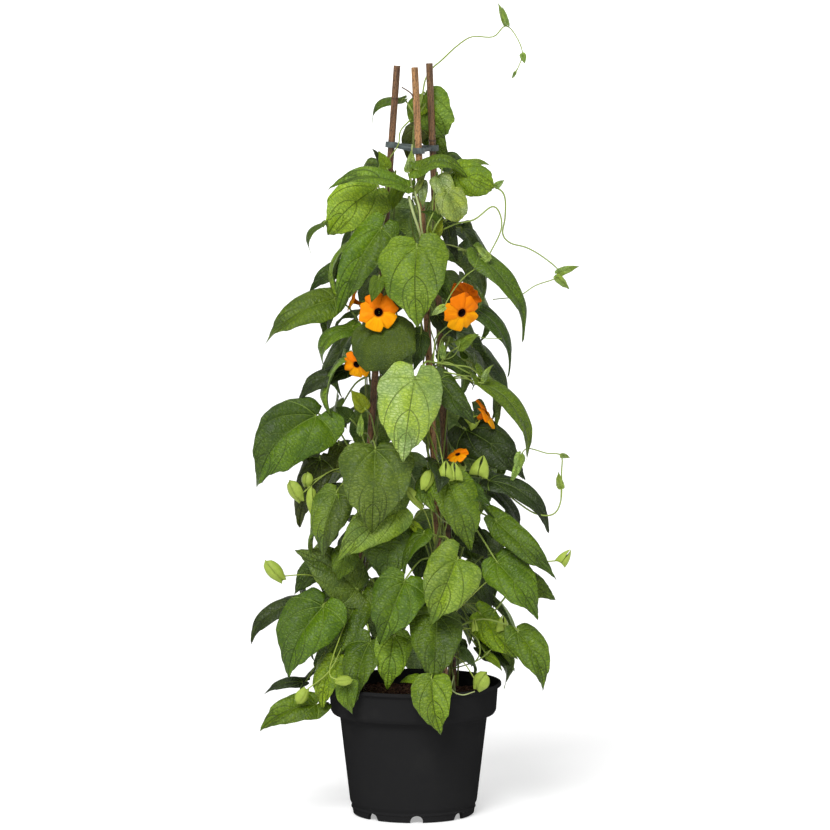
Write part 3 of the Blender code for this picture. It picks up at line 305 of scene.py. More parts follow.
# Small leaves and buds that the solids leave out, in the same columns. A small leaf's
# row ends with its tone.
SMALL_LEAVES = (
    ("top_small", "front", 8, 611, -5, 602, 14, 12, 0, 0, 0.1, "bright"),
    ("top_low", "front", 4, 592, -6, 566, 20, 16, 0, -10, 0.1, "olive"),
    ("pair_dark", "left", -25, 558, -35, 575, 7, -5, 0, -30, 0.05, "dark"),
    ("upper_pair", "front", -4, 556, -2, 574, 9, -30, 2, 0, 0.1, "palest"),
    ("young_narrow", "front", 1, 536, 12, 556, 5, -34, 0, 20, 0.1, "young"),
    ("under_small", "front", -12, 541, -18, 522, 12, -18, 0, 0, 0.1, "bright"),
    ("left_curl", "left", -76, 510, -88, 484, 5, -20, 4, -70, 0.3, "green"),
    ("upper_right_pale", "front", 38, 560, 67, 560, 6, -28, 0, 62, 0.1, "pale"),
    ("upper_right_dark", "front", 46, 556, 68, 552, 8, -16, 0, 40, 0.1, "deep"),
    ("shoot_one", "front", 8, 545, 8, 523, 9, -32, 2, 0, 0.1, "young"),
    ("shoot_four", "front", 24, 513, 5, 521, 8, -36, 0, -30, 0.1, "green"),
    ("yellow_one", "front", 18, 499, 25, 515, 9, -40, 2, 10, 0.1, "yellow"),
    ("yellow_two", "front", 15, 498, 12, 512, 6, -40, 2, -10, 0.1, "yellow"),
    ("round_small", "left", -55, 343, -67, 353, 14, -18, 0, -20, 0.1, "deep"),
    ("yellow_left", "left", -42, 352, -54, 368, 13, -34, 0, -20, 0.1, "yellow"),
    ("pale_small", "left", -46, 331, -45, 348, 7, -48, 0, 0, 0.1, "palest"),
    ("bloom_rest", "front", 39, 405, 56, 416, 11, -44, 0, 30, 0.1, "pale"),
    ("node_pale", "front", 25, 397, 25, 411, 6, -50, 0, 0, 0.1, "palest"),
    ("node_narrow", "front", 60, 376, 69, 390, 5, -46, 0, 30, 0.1, "young"),
    ("yellow_centre", "front", 0, 251, 12, 241, 9, -46, 0, 0, 0.1, "yellow"),
    ("soil_edge", "front", 5, 117, -12, 114, 9, -52, 0, -30, 0.1, "bright"),
    ("right_narrow", "right", 64, 138, 77, 124, 7, -30, 0, 30, 0.1, "bright"),
    ("behind_centre", "front", -7, 452, -18, 431, 15, -36, 0, -10, 0.1, "dark"),
    ("behind_right", "front", 20, 432, 37, 411, 16, -34, 0, 20, 0.1, "dark"),
    ("edge_on_right", "right", 85, 224, 120, 208, 7, -22, 0, 65, 0.12, "dark"),
    ("low_screen", "front", 10, 243, 4, 202, 40, -14, 2, 0, 0.1, "deep"),
)
SMALL_BUDS = (
    ("bud_narrow", "front", 53, 159, 52, 170, 5, -46),
    ("bud_left_three", "left", -87, 262, -88, 284, 10, -32),
    ("bud_tall_pair", "front", 36, 290, 35, 306, 11, -68),
)
# Buds whose bracts are full and blunt, unlike the tent-like ones
FULL_BUDS = ("bud_left_one", "bud_left_two", "bud_left_three", "bud_far_left", "bud_rim_left",
             "bud_rim_pale", "bud_pale", "bud_rim_right", "bud_low")
# Where some stalks bend over, as seen
BENDS = {
    "bud_rim_left": (-68, 131, -48),
    "bud_rim_pale": (-72, 128, -66),
    "left_hanging": (-54, 130, -38),
}
INNER_SEEDS = {"left": 41, "front": 42, "right": 43}
INNER_LEAVES = {"left": 22, "front": 8, "right": 26}
INNER_TURNS = {"left": (70.0, 190.0), "front": (200.0, 340.0), "right": (-20.0, 120.0)}
INNER_TONES = ("deep", "dark", "green", "mid")
INNER_LOW = 125.0
INNER_HIGH = 520.0
# Free stems and tendrils as seen: cane, tone, thickness, points of x, height and depth
RUNNERS = (
    ("front", "down", 2.6, ((-4, 534, -38), (-1, 522, -42), (3, 510, -44), (7, 497, -42))),
    ("front", "down", 2.2, ((1, 538, -36), (5, 524, -42), (6, 512, -44), (8, 499, -42))),
    ("front", "down", 1.6, ((-1, 578, -14), (-2, 560, -24), (-2, 546, -32), (0, 536, -36))),
    ("front", "stalk", 1.5, ((13, 497, -42), (12, 508, -46), (17, 520, -44))),
    ("front", "stalk", 1.5, ((14, 497, -42), (20, 510, -46), (27, 519, -42))),
    ("front", "stalk", 1.5, ((20, 520, -36), (19, 530, -34), (24, 538, -32))),
    ("front", "stalk", 1.4, ((22, 518, -36), (23, 526, -36), (26, 533, -36))),
    ("front", "stem", 1.5, ((20, 493, -30), (32, 492, -34), (44, 488, -34), (56, 485, -32))),
    ("front", "stalk", 1.8, ((19, 391, -46), (11, 392, -62), (7, 386, -74), (2, 378, -80))),
    ("front", "stalk", 1.6, ((19, 391, -46), (30, 391, -48), (42, 385, -46), (58, 377, -40))),
    ("front", "stalk", 1.4, ((19, 391, -46), (34, 389, -52), (48, 387, -48), (58, 379, -40))),
    ("front", "stalk", 1.5, ((19, 384, -46), (32, 382, -50), (44, 379, -46), (54, 372, -40))),
    ("front", "stalk", 1.4, ((17, 391, -46), (18, 405, -46), (20, 414, -44), (33, 426, -50))),
    ("front", "stalk", 1.2, ((21, 391, -46), (22, 404, -44), (26, 414, -42), (40, 424, -44))),
    ("front", "stalk", 0.8, ((24, 393, -46), (33, 396, -44), (38, 402, -46), (40, 410, -48))),
    ("front", "stalk", 0.8, ((52, 417, -40), (58, 413, -38), (66, 412, -36), (76, 412, -34))),
    ("front", "twig", 1.5, ((0, 617, -17), (-1.5, 621, -17), (-5, 624, -15), (-10, 627, -13))),
    ("front", "stalk", 1.4, ((-2, 600, 4), (-11, 590, 0), (-13, 578, -6), (-21, 566, -8))),
    ("front", "down", 1.3, ((-4, 300, -40), (4, 285, -46), (16, 276, -48), (30, 272, -46))),
    ("front", "stalk", 1.2, ((8, 300, -44), (12, 284, -46), (20, 262, -44), (24, 240, -42))),
    ("front", "stalk", 1.1, ((30, 300, -44), (28, 282, -46), (20, 268, -46), (8, 262, -44))),
    ("front", "stalk", 1.3, ((34, 292, -46), (30, 276, -44), (30, 258, -44), (24, 236, -42))),
    ("front", "down", 1.1, ((0, 278, -42), (12, 270, -46), (24, 256, -46), (36, 250, -42))),
    ("front", "stalk", 1.2, ((14, 290, -42), (10, 270, -46), (0, 256, -44), (-8, 250, -40))),
    ("right", "stalk", 1.7, ((82, 192, -30), (70, 176, -28), (58, 162, -24), (48, 156, -16))),
    ("right", "stalk", 1.5, ((49, 158, -34), (56, 150, -38), (57, 138, -38), (50, 128, -34))),
    ("right", "stalk", 1.2, ((34, 126, -34), (48, 130, -38), (60, 136, -36), (72, 148, -30))),
    ("front", "down", 1.2, ((35, 120, -60), (33, 108, -68), (42, 103, -72), (53, 106, -68))),
)
STRANDS = 3
STRAND_SEEDS = {"left": 21, "front": 22, "right": 23}
THROAT_SHARE = 0.21
PETAL_SPREAD = 40.0
PETAL_LAP = 0.35
# The stage's floor and backdrop, in metres: radius and height of its rings
STAGE = ((4.0, 0.0), (17.0, 0.0), (18.2, 0.12), (19.3, 0.5), (20.2, 1.1), (20.8, 2.0), (21.0, 4.5))
WORLD_LIGHT = 0.12
# The floor glows a little, which keeps its shadows faint
FLOOR_GLOW = 0.4
# The lights are set to make the floor white, so every other colour is multiplied by this
EXPOSED = 0.75
CRUMBS = 2200
FIBRES = 160
CANE_SEEDS = {"left": 31, "front": 32, "right": 33}
CANE_TONES = {
    "left": (0.125, 0.066, 0.03),
    "front": (0.27, 0.15, 0.062),
    "right": (0.13, 0.072, 0.032),
}

# Tones of leaves and other green pieces, as screen colours from 0 to 255. They were taken as
# the leaves look, so the darker ones, such as deep, dark and olive, partly carry painted shade
# for leaves that lie in shadow.
TONES = {
    "palest": (145, 173, 76),
    "pale": (115, 143, 42),
    "fresh": (126, 156, 32),
    "bluish": (102, 131, 23),
    "bright": (116, 145, 8),
    "mid": (88, 115, 4),
    "green": (76, 102, 3),
    "deep": (60, 83, 3),
    "dark": (45, 61, 5),
    "olive": (70, 80, 8),
    "grey": (84, 106, 26),
    "flat": (74, 92, 1),
    "yellow": (134, 152, 10),
    "young": (150, 170, 84),
    "bud": (158, 178, 70),
    "stalk": (140, 162, 66),
    "down": (172, 186, 120),
    "stem": (108, 121, 46),
    "twig": (84, 60, 36),
}
PALE_TONES = ("palest", "pale", "fresh", "bluish", "young")
# Leaves with a form of their own: how far each basal lobe reaches back and each half
# spreads, as shares of the plain leaf's and with the left half first, how far the midrib
# bows to the left as a share of length, how blunt the tip is, and where given, how bright
# the left and the right half are painted, a painted light and shade for halves that face
# the light differently
LEAF_FORMS = {
    "folded_pale": (2.4, 0.5, 0.95, 1.1, 0.0, 0.0, 0.9, 1.12),
    "big_left": (1.2, 1.6, 0.8, 0.97, 0.11, 0.0, 0.7, 1.2),
    "flat_dark": (1.0, 1.0, 1.0, 1.0, 0.0, 0.9, 1.0, 1.0),
    "broad_left": (1.3, 1.3, 1.0, 1.0, 0.03, 0.0, 1.15, 0.75),
    "half_shaded": (1.2, 1.2, 1.1, 1.1, 0.0, 0.0, 1.3, 0.7),
    "left_fan": (1.5, 1.5, 1.0, 1.0, 0.05, 0.0, 0.88, 1.2),
    "low_centre": (1.4, 1.4, 1.0, 1.0, 0.0, 0.0, 0.92, 1.15),
    "under_left": (1.0, 1.0, 1.0, 1.0, 0.04, 0.3, 1.1, 0.9),
    "plain_right": (1.2, 1.0, 0.78, 1.0, 0.0, 0.0, 0.92, 1.1),
    "top_right": (0.8, 0.8, 1.0, 1.0, 0.05, 0.7),
    "round_right": (0.7, 0.7, 1.0, 1.0, 0.0, 0.6),
    "shoot_two": (0.5, 0.5, 1.0, 1.0, 0.0, 0.5),
    "shoot_three": (0.5, 0.5, 1.0, 1.0, 0.0, 0.7),
}
BACK_TONES = ("mid", "green", "bright", "deep", "bluish", "mid", "green", "pale")

# Finer detail of the leaves
VEINS = 3
LEAF_GRIDS = ((46.0, 10, 26), (26.0, 8, 16), (0.0, 4, 8))
FAR_GRIDS = ((46.0, 10, 16), (26.0, 8, 11), (0.0, 4, 8))
LADDER = 4.4
OUTLINE_A = (1.0, 0.84, 0.61, 0.34, 0.08, -0.1, -0.1)
OUTLINE_B = (0.0, 0.135, 0.33, 0.475, 0.485, 0.33, 0.06)
BLUNT_A = (1.0, 0.97, 0.78, 0.42, 0.08, -0.1, -0.1)
BLUNT_B = (0.0, 0.27, 0.46, 0.52, 0.47, 0.31, 0.06)
VEIN_BOW = (0.0, 0.18, 0.27, 0.25, 0.19, 0.09, 0.02)
# Pairs of veins that leave the midrib: where, as a share of length, and how far they reach
BRANCHES = ((0.36, 0.235), (0.64, 0.13))
BRANCH_CURVE = 0.2
SWAY = 0.014
SMALL_FOLD = 0.3
SMALL_CURL = 0.2
# First seed of each kind of piece, to which the number of its row is added
FAR_SEED = 200
BUD_SEED = 300
BRACT_SEED = 340
SMALL_SEED = 400
SMALL_BUD_SEED = 500
INNER_SEED = 600
SHOOT_SEED = 700
PAINTED_HALF_SEED = 9000
BLADE_HALF = 0.24
BULGE = 0.024
QUILT = 0.32
EDGE_WAVE = 0.045


def linear(colour):
    """A screen colour from 0 to 255 as the renderer's own values."""
    return tuple((part / 255.0) ** 2.2 for part in colour)


def around(degrees):
    """The level direction at an angle round the pot's axis, counted from +X."""
    angle = math.radians(degrees)
    return Vector((math.cos(angle), math.sin(angle), 0.0))


def up(height):
    """A step straight up."""
    return Vector((0.0, 0.0, height))


def seen(x, height, depth):
    """The real point at a depth for a place seen on the plane through the axis."""
    share = (EYE_DISTANCE + depth) / EYE_DISTANCE
    return Vector((EYE_X + (x - EYE_X) * share, depth, EYE_HEIGHT + (height - EYE_HEIGHT) * share))


def cane_line(side):
    """A function that gives the cane's middle at a height, and the cane's top."""
    (x0, h0, y0), (x1, h1, y1) = CANES[side]
    low, high = seen(x0, h0, y0), seen(x1, h1, y1)

    def at(height):
        return low + (high - low) * ((height - low.z) / (high.z - low.z))

    return at, high.z


class Shape:
    """Points, faces and looks of a piece, gathered before its mesh is made."""

    LOOKS = {"tint": 3, "rib": 3, "leaf": 3, "vein": 3}

    def __init__(self):
        self.points = []
        self.faces = []
        self.looks = {name: [] for name in self.LOOKS}
        self.count = 0

    def add(self, points, faces, tint, rib=None, leaf=None, vein=None):
        """Add points with their faces. A look is one value or one for each point."""
        count = len(points)
        self.points.append(np.asarray(points, dtype=float).reshape(count, 3))
        first = self.count
        self.faces += [tuple(k + first for k in face) for face in faces]
        given = {"tint": tint, "rib": tint if rib is None else rib, "leaf": leaf, "vein": vein}
        for name, value in given.items():
            value = (0.0, 0.0, 0.0) if value is None else value
            self.looks[name].append(np.broadcast_to(np.asarray(value, dtype=float), (count, 3)))
        self.count += count

    def make(self, name, material, node):
        """Turn what is gathered into a piece that stands for a node."""
        mesh = bpy.data.meshes.new(name)
        mesh.from_pydata((np.concatenate(self.points) * MM).tolist(), [], self.faces)
        shape = bmesh.new()
        shape.from_mesh(mesh)
        bmesh.ops.recalc_face_normals(shape, faces=shape.faces)
        shape.to_mesh(mesh)
        shape.free()
        for look, parts in self.looks.items():
            layer = mesh.attributes.new(look, "FLOAT_VECTOR", "POINT")
            layer.data.foreach_set("vector", np.concatenate(parts).ravel())
        mesh.shade_smooth()
        return piece_of(name, mesh, material, node)


def piece_of(name, mesh, material, node):
    """A piece for a mesh, which stands for a node."""
    piece = bpy.data.objects.new(name, mesh)
    bpy.context.scene.collection.objects.link(piece)
    mesh.materials.clear()
    mesh.materials.append(material)
    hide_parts(node)
    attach(piece, "root")
    return piece


def smooth_steps(values, steps):
    """Values of a smooth line through evenly spaced ones, at a number of steps between."""
    values = np.asarray(values, dtype=float)
    before = np.concatenate([values[:1] * 2.0 - values[1:2], values[:-1]])[:-1]
    after = np.concatenate([values[2:], values[-1:] * 2.0 - values[-2:-1]])
    first, last = values[:-1], values[1:]
    shares = np.linspace(0.0, 1.0, steps, endpoint=False)
    rows = []
    for share in shares:
        rows.append(0.5 * (2.0 * first + (last - before) * share
                           + (2.0 * before - 5.0 * first + 4.0 * last - after) * share ** 2
                           + (3.0 * first - before - 3.0 * last + after) * share ** 3))
    mixed = np.stack(rows, axis=1).reshape((-1,) + values.shape[1:])
    return np.concatenate([mixed, values[-1:]])


def ring_faces(first, second, sides):
    """Faces between two rings of points, given by the number of each ring's first point."""
    faces = []
    for i in range(sides):
        j = (i + 1) % sides
        faces.append((first + i, first + j, second + j, second + i))
    return faces


def tube(shape, points, radii, sides, tint):
    """A round tube along points, with a radius at each end or at each point."""
    points = np.array([tuple(place) for place in points], dtype=float)
    count = len(points)
    if len(radii) == 2:
        radii = np.linspace(radii[0], radii[1], count)
    steps = np.gradient(points, axis=0)
    steps /= np.linalg.norm(steps, axis=1)[:, None] + 1e-9
    side = np.cross(steps[0], (0.0, 0.0, 1.0))
    if np.linalg.norm(side) < 0.1:
        side = np.cross(steps[0], (1.0, 0.0, 0.0))
    angles = np.linspace(0.0, 2.0 * math.pi, sides, endpoint=False)
    rings = []
    length = 0.0
    lengths = []
    for k in range(count):
        side = side - steps[k] * side.dot(steps[k])
        side /= np.linalg.norm(side)
        other = np.cross(steps[k], side)
        ring = points[k] + radii[k] * (np.cos(angles)[:, None] * side + np.sin(angles)[:, None] * other)
        rings.append(ring)
        length += np.linalg.norm(points[k] - points[k - 1]) if k else 0.0
        lengths.append(np.full(sides, length))
    faces = []
    for k in range(count - 1):
        faces += ring_faces(k * sides, (k + 1) * sides, sides)
    faces.append(tuple(reversed(range(sides))))
    faces.append(tuple(range((count - 1) * sides, count * sides)))
    turn = np.tile(angles, count)
    leaf = np.stack([turn, np.concatenate(lengths), np.zeros(count * sides)], axis=1)
    shape.add(np.concatenate(rings), faces, tint, leaf=leaf)


def soft_tube(shape, points, radii, sides, tint, steps=5):
    """A round tube along a smooth line through points."""
    line = smooth_steps([tuple(place) for place in points], steps)
    if len(radii) != 2:
        radii = smooth_steps(radii, steps)
    tube(shape, line, radii, sides, tint)


class Blade:
    """The frame of one leaf, from its base to its tip."""

    def __init__(self, base, tip, width, face, turn, arch):
        self.base = base
        self.tip = tip
        self.length = (tip - base).length
        self.width = width
        self.arch = arch
        self.along = (tip - base).normalized()
        out = (face - self.along * face.dot(self.along)).normalized()
        side = out.cross(self.along)
        angle = math.radians(turn)
        self.normal = out * math.cos(angle) + side * math.sin(angle)
        self.across = self.along.cross(self.normal)


def leaf_faces(rays, rings):
    """Faces of a closed leaf: a fan of rays with rings on both sides, and its rim."""
    total = 1 + rays * rings
    faces = []
    for side in (0, 1):
        first = side * total
        for i in range(rays - 1):
            corners = [(first, first + 1 + i, first + 2 + i)]
            for j in range(rings - 1):
                low = first + 1 + j * rays + i
                corners.append((low, low + rays, low + rays + 1, low + 1))
            faces += corners if side == 0 else [tuple(reversed(c)) for c in corners]
    rim = [0] + [1 + j * rays for j in range(rings)]
    rim += [1 + (rings - 1) * rays + i for i in range(1, rays)]
    rim += [1 + j * rays + rays - 1 for j in range(rings - 2, -1, -1)]
    for k, spot in enumerate(rim):
        after = rim[(k + 1) % len(rim)]
        faces.append((spot, spot + total, after + total, after))
    return faces


def add_leaf(shape, blade, tone, fold, curl, seed, grids=LEAF_GRIDS, form=None):
    """A leaf with its veins, quilted skin between them, folded halves and a curled tip."""
    rng = random.Random(seed)
    if form is None:
        form = (rng.uniform(0.6, 1.9), rng.uniform(0.6, 1.9), rng.uniform(0.88, 1.06),
                rng.uniform(0.88, 1.06), rng.uniform(-0.06, 0.06), 0.0)
    _, each, rings = next(row for row in grids if blade.length >= row[0])
    half = VEINS * each
    rays = 2 * half + 1
    blunt = form[5]
    plain = 1.0 - blunt
    along_out = smooth_steps(np.array(OUTLINE_A) * plain + np.array(BLUNT_A) * blunt, each // 2)
    across_out = smooth_steps(np.array(OUTLINE_B) * plain + np.array(BLUNT_B) * blunt, each // 2)
    bow = smooth_steps(VEIN_BOW, each // 2)
    index = np.abs(np.arange(rays) - half)
    sign = np.sign(np.arange(rays) - half)
    q = index / each
    # The margin bears a shallow tooth at each vein and a little unevenness between
    ragged = 1.0 + 0.02 * np.cos(2.0 * math.pi * q) * np.minimum(q, 1.0) \
        + 0.022 * np.sin(q * 8.3 + rng.uniform(0.0, 6.0) + sign) * np.minimum(q, 1.0) \
        + 0.011 * np.sin(q * 19.0 + rng.uniform(0.0, 6.0) + 2.0 * sign)
    wide = np.where(sign > 0, form[2], form[3])
    lobes = along_out[index]
    lobes = np.where(lobes < 0.0, lobes * np.where(sign > 0, form[0], form[1]), lobes)
    out = np.stack([lobes * blade.length,
                    sign * across_out[index] * blade.width * wide], axis=1) * ragged[:, None]
    out[half] = (blade.length, 0.0)
    reach = np.linalg.norm(out, axis=1)
    perp = np.stack([-out[:, 1], out[:, 0]], axis=1) * sign[:, None]
    middle = out / 2.0 + perp * bow[index][:, None]
    share = (np.arange(1, rings + 1) / rings)[:, None]
    v = share[:, :, None]
    flat = 2.0 * (1.0 - v) * v * middle + v * v * out
    x = flat[:, :, 0]
    y = flat[:, :, 1]
    a = x / blade.length
    b = y / blade.width
    t = 2.0 * np.abs(b)
    # The blade as a whole: arched along its midrib, folded beside it, its tip curled down
    lobe = np.where(a > 0.0, 4.0 * a * (1.0 - a), 0.4 * a)
    z = blade.arch * lobe * blade.length
    z += blade.width * (fold * t - (0.75 * fold + 0.07) * t * t)
    z += blade.width * rng.uniform(-0.2, 0.2) * b * a
    z -= curl * blade.length * np.clip(a - 0.6, 0.0, None) ** 2
    z -= 0.5 * curl * blade.width * np.clip(t - 0.75, 0.0, None) ** 2
    phase = rng.uniform(0.0, 6.0)
    z += EDGE_WAVE * blade.width * share ** 3 * np.sin(q * 2.7 + phase + 1.3 * sign)[None, :]
    # Between the main veins the skin swells, and cross veins quilt it
    near = np.minimum(np.round(q), VEINS - 1).astype(int)
    w = np.where(q > VEINS - 1, q - (VEINS - 1), 1.0 - np.abs(2.0 * (q % 1.0) - 1.0))
    swell = np.sin(math.pi * share ** 0.8)
    z += BULGE * blade.width * (1.0 - (1.0 - w) ** 2)[None, :] * swell
    # The blade is never quite even
    z += SWAY * blade.width * (np.sin(0.17 * x + 0.1 * y + rng.uniform(0.0, 6.0))
                               + np.sin(0.2 * y - 0.09 * x + rng.uniform(0.0, 6.0)))
    # Pairs of veins leave the midrib in an arc and turn towards the tip
    branch = np.full(x.shape, 30.0)
    for start, reach_out in BRANCHES:
        u = np.clip((a - start) / (1.0 - start), -0.2, None)
        bends = np.exp(-u / BRANCH_CURVE)
        back = 1.0 - 0.7 * u * u
        arc = reach_out * blade.width * (1.0 - bends) * back
        steep = reach_out * blade.width * (bends / BRANCH_CURVE * back - (1.0 - bends) * 1.4 * u)
        steep /= (1.0 - start) * blade.length
        way = (np.abs(y) - arc) / np.sqrt(1.0 + steep ** 2)
        way = np.where(u < -0.1, 30.0, way)
        branch = np.where(np.abs(way) < np.abs(branch), way, branch)
    z -= 0.3 * np.exp(-(branch / 1.4) ** 2)
    wander = 0.5 * np.sin(x * 0.19 + rng.uniform(0.0, 6.0)) + 0.45 * np.sin(y * 0.23 + phase)
    ladder = share * reach[None, :] / LADDER + 0.9 * w[None, :] + wander
    pillow = np.abs(np.sin(0.5 * math.pi * ladder)) ** 0.7 * (0.35 + 0.65 * w[None, :])
    z += QUILT * min(1.0, blade.width / 45.0) * pillow * np.minimum(1.0, 6.0 * (1.0 - share))
    y = y + form[4] * blade.length * np.clip(a * (1.0 - a), -0.05, None) * 4.0
    base = np.array(blade.base)
    frame_of = np.array([tuple(blade.along), tuple(blade.across), tuple(blade.normal)])
    places = np.concatenate([np.zeros((1, 3)), np.stack([x, y, z], axis=2).reshape(-1, 3)])
    thick = BLADE_HALF * (1.0 - 0.55 * np.broadcast_to(share, x.shape) ** 2).ravel()
    lift = np.zeros_like(places)
    lift[:, 2] = np.concatenate([[BLADE_HALF], thick])
    upper = base + (places + lift) @ frame_of
    lower = base + (places - lift) @ frame_of
    # Looks: distances to the nearest main vein and to the second pair, count of cross veins
    vein_at = np.clip(half + near * each * np.where(sign == 0, 1, sign), 0, rays - 1).astype(int)
    gap = np.linalg.norm(flat - flat[:, vein_at], axis=2)
    # The skin of a small leaf is drawn finer
    finer = min(2.2, max(1.0, 46.0 / blade.length))
    vein = np.stack([gap * finer, np.clip(branch, -30.0, 30.0) * finer, ladder], axis=2).reshape(-1, 3)
    vein = np.concatenate([[(0.0, 30.0, 0.0)], vein])
    own = rng.uniform(0.0, 500.0)
    leaf = np.stack([y * finer, x * finer, np.full(x.shape, own)], axis=2).reshape(-1, 3)
    leaf = np.concatenate([[(0.0, 0.0, own)], leaf])
    tint = np.array(linear(TONES[tone])) * rng.uniform(0.9, 1.1)
    tint = tint * np.array((rng.uniform(0.93, 1.07), 1.0, rng.uniform(0.8, 1.2)))
    pale = np.array(linear(TONES["palest"]))
    under = tint * 0.55 + np.array(linear((136, 160, 92))) * 0.45
    # Veins are pale near the stalk and turn into dark grooves further out, dark partly in their own
    # colour and partly as painted shade in the grooves
    fade = 0.2 if tone in PALE_TONES else 0.6
    far = np.clip((leaf[:, 1:2] / finer / blade.length - 0.02) / fade, 0.0, 1.0)
    deep = 0.36 + 0.3 * (finer - 1.0)
    rib = (tint * 0.4 + pale * 0.6) * (1.0 - far) + tint * deep * far
    if tone == "flat":
        rib = tint * np.ones_like(far)
        vein[:] = (30.0, 30.0, 0.25)
        leaf = leaf * (1.5, 1.5, 1.0)
    # Painted light and shade: one half is painted brighter than the other, as if it faced the light more
    shades = random.Random(seed + PAINTED_HALF_SEED)
    halves = form[6:] or (shades.uniform(0.82, 1.16), shades.uniform(0.82, 1.16))
    shade = np.where(sign > 0, halves[0], np.where(sign < 0, halves[1], sum(halves) / 2.0))
    shade = np.concatenate([[1.0], np.tile(shade, rings)])[:, None]
    count = len(upper)
    shape.add(np.concatenate([upper, lower]), leaf_faces(rays, rings),
              np.concatenate([tint * shade, np.tile(under, (count, 1))]),
              np.concatenate([rib, np.tile(under * 0.5 + pale * 0.6, (count, 1))]),
              np.tile(leaf, (2, 1)), np.tile(vein, (2, 1)))


class Stem:
    """A stem, with the spots that leaves can grow from."""

    def __init__(self, side):
        self.cane_at, _ = cane_line(side)
        self.points = stem_points(side)
        self.spots = []
        self.uses = []
        for low, high in zip(self.points[3:], self.points[4:]):
            for share in SPOT_SHARES:
                self.spots.append(low.lerp(high, share))
                self.uses.append(0)

    def spot(self, target):
        """A spot near the target, on its side of the cane, that carries little else."""
        best = None
        for k, spot in enumerate(self.spots):
            middle = self.cane_at(spot.z)
            out = (spot - middle).normalized()
            way = target - middle
            flat = Vector((way.x, way.y, 0.0)).normalized()
            cost = (spot - target).length + FAR_SIDE_COST * (1.0 - out.dot(flat))
            cost += SHARED_COST * self.uses[k]
            if best is None or cost < best[0]:
                best = (cost, k)
        self.uses[best[1]] += 1
        return self.spots[best[1]]


def stem_points(side):
    """The stem's middle line, from its foot in the soil up round its cane."""
    at, _ = cane_line(side)
    rise = STEM_PITCH / STEM_POINTS_A_TURN
    count = int((STEM_TOPS[side] - STEM_START) / rise)
    points = []
    for k in range(count + 1):
        out = around(STEM_TURNS[side] + 360.0 / STEM_POINTS_A_TURN * k)
        points.append(at(STEM_START + rise * k) + out * STEM_REACH)
    first = Vector((points[0].x, points[0].y, 0.0))
    root = first - first.normalized() * STEM_INWARD
    low = [root + up(height) for height in (STEM_FOOT, SOIL_TOP, SOIL_TOP + STEM_RISE)]
    return low + points + [seen(*place) for place in STEM_TIPS[side]]


def leaf_blade(row):
    """The blade of a row of a leaf table."""
    _, _, bx, bz, tx, tz, width, depth, nearer, turn, arch = row[:11]
    base = seen(bx, bz, depth)
    tip = seen(tx, tz, depth - nearer)
    return Blade(base, tip, width / math.cos(math.radians(turn)), TO_EYE, turn, arch)


def cane_towards(degrees):
    """The cane whose stem carries the leaves of a direction."""
    if degrees < 0.0:
        return "front"
    return "right" if degrees < BACK_SPLIT else "left"


def back_leaves(side):
    """The blades of the sides and the back that grow from a cane's stem."""
    rng = random.Random(BACK_SEED)
    for row, (height, count, first, last, length) in enumerate(BACK_ROWS):
        for k in range(count):
            degrees = first + (last - first) * k / (count - 1) + rng.uniform(-5.0, 5.0)
            size = length * rng.uniform(0.9, 1.08)
            lower = rng.uniform(-9.0, 9.0)
            turn = rng.uniform(-14.0, 14.0)
            lean = rng.uniform(-0.12, 0.12)
            if side != cane_towards(degrees):
                continue
            # The foremost ones turn their edge to the eye
            turn += 22.0 if degrees < 0.0 else -22.0 if degrees > 180.0 else 0.0
            out = around(degrees)
            z = height + lower
            radius = BACK_RADIUS - BACK_TAPER * (z - SOIL_TOP) + BACK_STAGGER * (k % 2)
            base = out * radius + up(z)
            way = out * BACK_LEAN + around(degrees + 90.0) * lean - up(BACK_DROP)
            tip = base + way.normalized() * size
            yield row * 7 + k, Blade(base, tip, size * BACK_WIDTH, out, turn, BACK_ARCH)


def add_leaf_stalk(shape, blade, stem, name=None):
    """The stalk from a spot on the stem to the blade's notch, and on under the blade."""
    base = blade.base
    bend = seen(*BENDS[name]) if name in BENDS else None
    start = stem.spot(bend or base)
    knee = base - blade.along * STALK_KNEE
    reach = (knee - start).length
    points = [start, knee, base, base + blade.along * 3.0]
    if bend:
        points.insert(1, bend)
    elif reach > STALK_BENT_FROM:
        points.insert(1, (start + knee) / 2.0 + up(STALK_RISE * reach))
    radius = 0.55 + 0.25 * min(1.0, blade.length / 60.0)
    radii = [radius * 1.35, *[radius] * (len(points) - 2), radius * 0.6]
    soft_tube(shape, points, radii, 8, linear(TONES["stalk"]))


def stalk_points(start, sink):
    """A stalk that rises from the stem, bends over and sinks into what it carries."""
    middle = (start + sink) / 2.0 + up(STALK_RISE * (sink - start).length)
    return [start, middle, sink]


def rim_of(rows, cols):
    """The grid points round the edge of a grid of rows and columns, in order."""
    wide = cols + 1
    rim = list(range(wide)) + [i * wide + cols for i in range(1, rows + 1)]
    rim += list(range(rows * wide + cols - 1, rows * wide - 1, -1))
    return rim + [i * wide for i in range(rows - 1, 0, -1)]


def sheet_faces(rows, cols):
    """Faces of a thin closed sheet: its upper grid, its lower grid and its rim."""
    total = (rows + 1) * (cols + 1)
    faces = []
    for i in range(rows):
        for j in range(cols):
            k = i * (cols + 1) + j
            quad = (k, k + 1, k + cols + 2, k + cols + 1)
            faces.append(quad)
            faces.append(tuple(corner + total for corner in reversed(quad)))
    rim = rim_of(rows, cols)
    for k, spot in enumerate(rim):
        after = rim[(k + 1) % len(rim)]
        faces.append((after, spot, spot + total, after + total))
    return faces


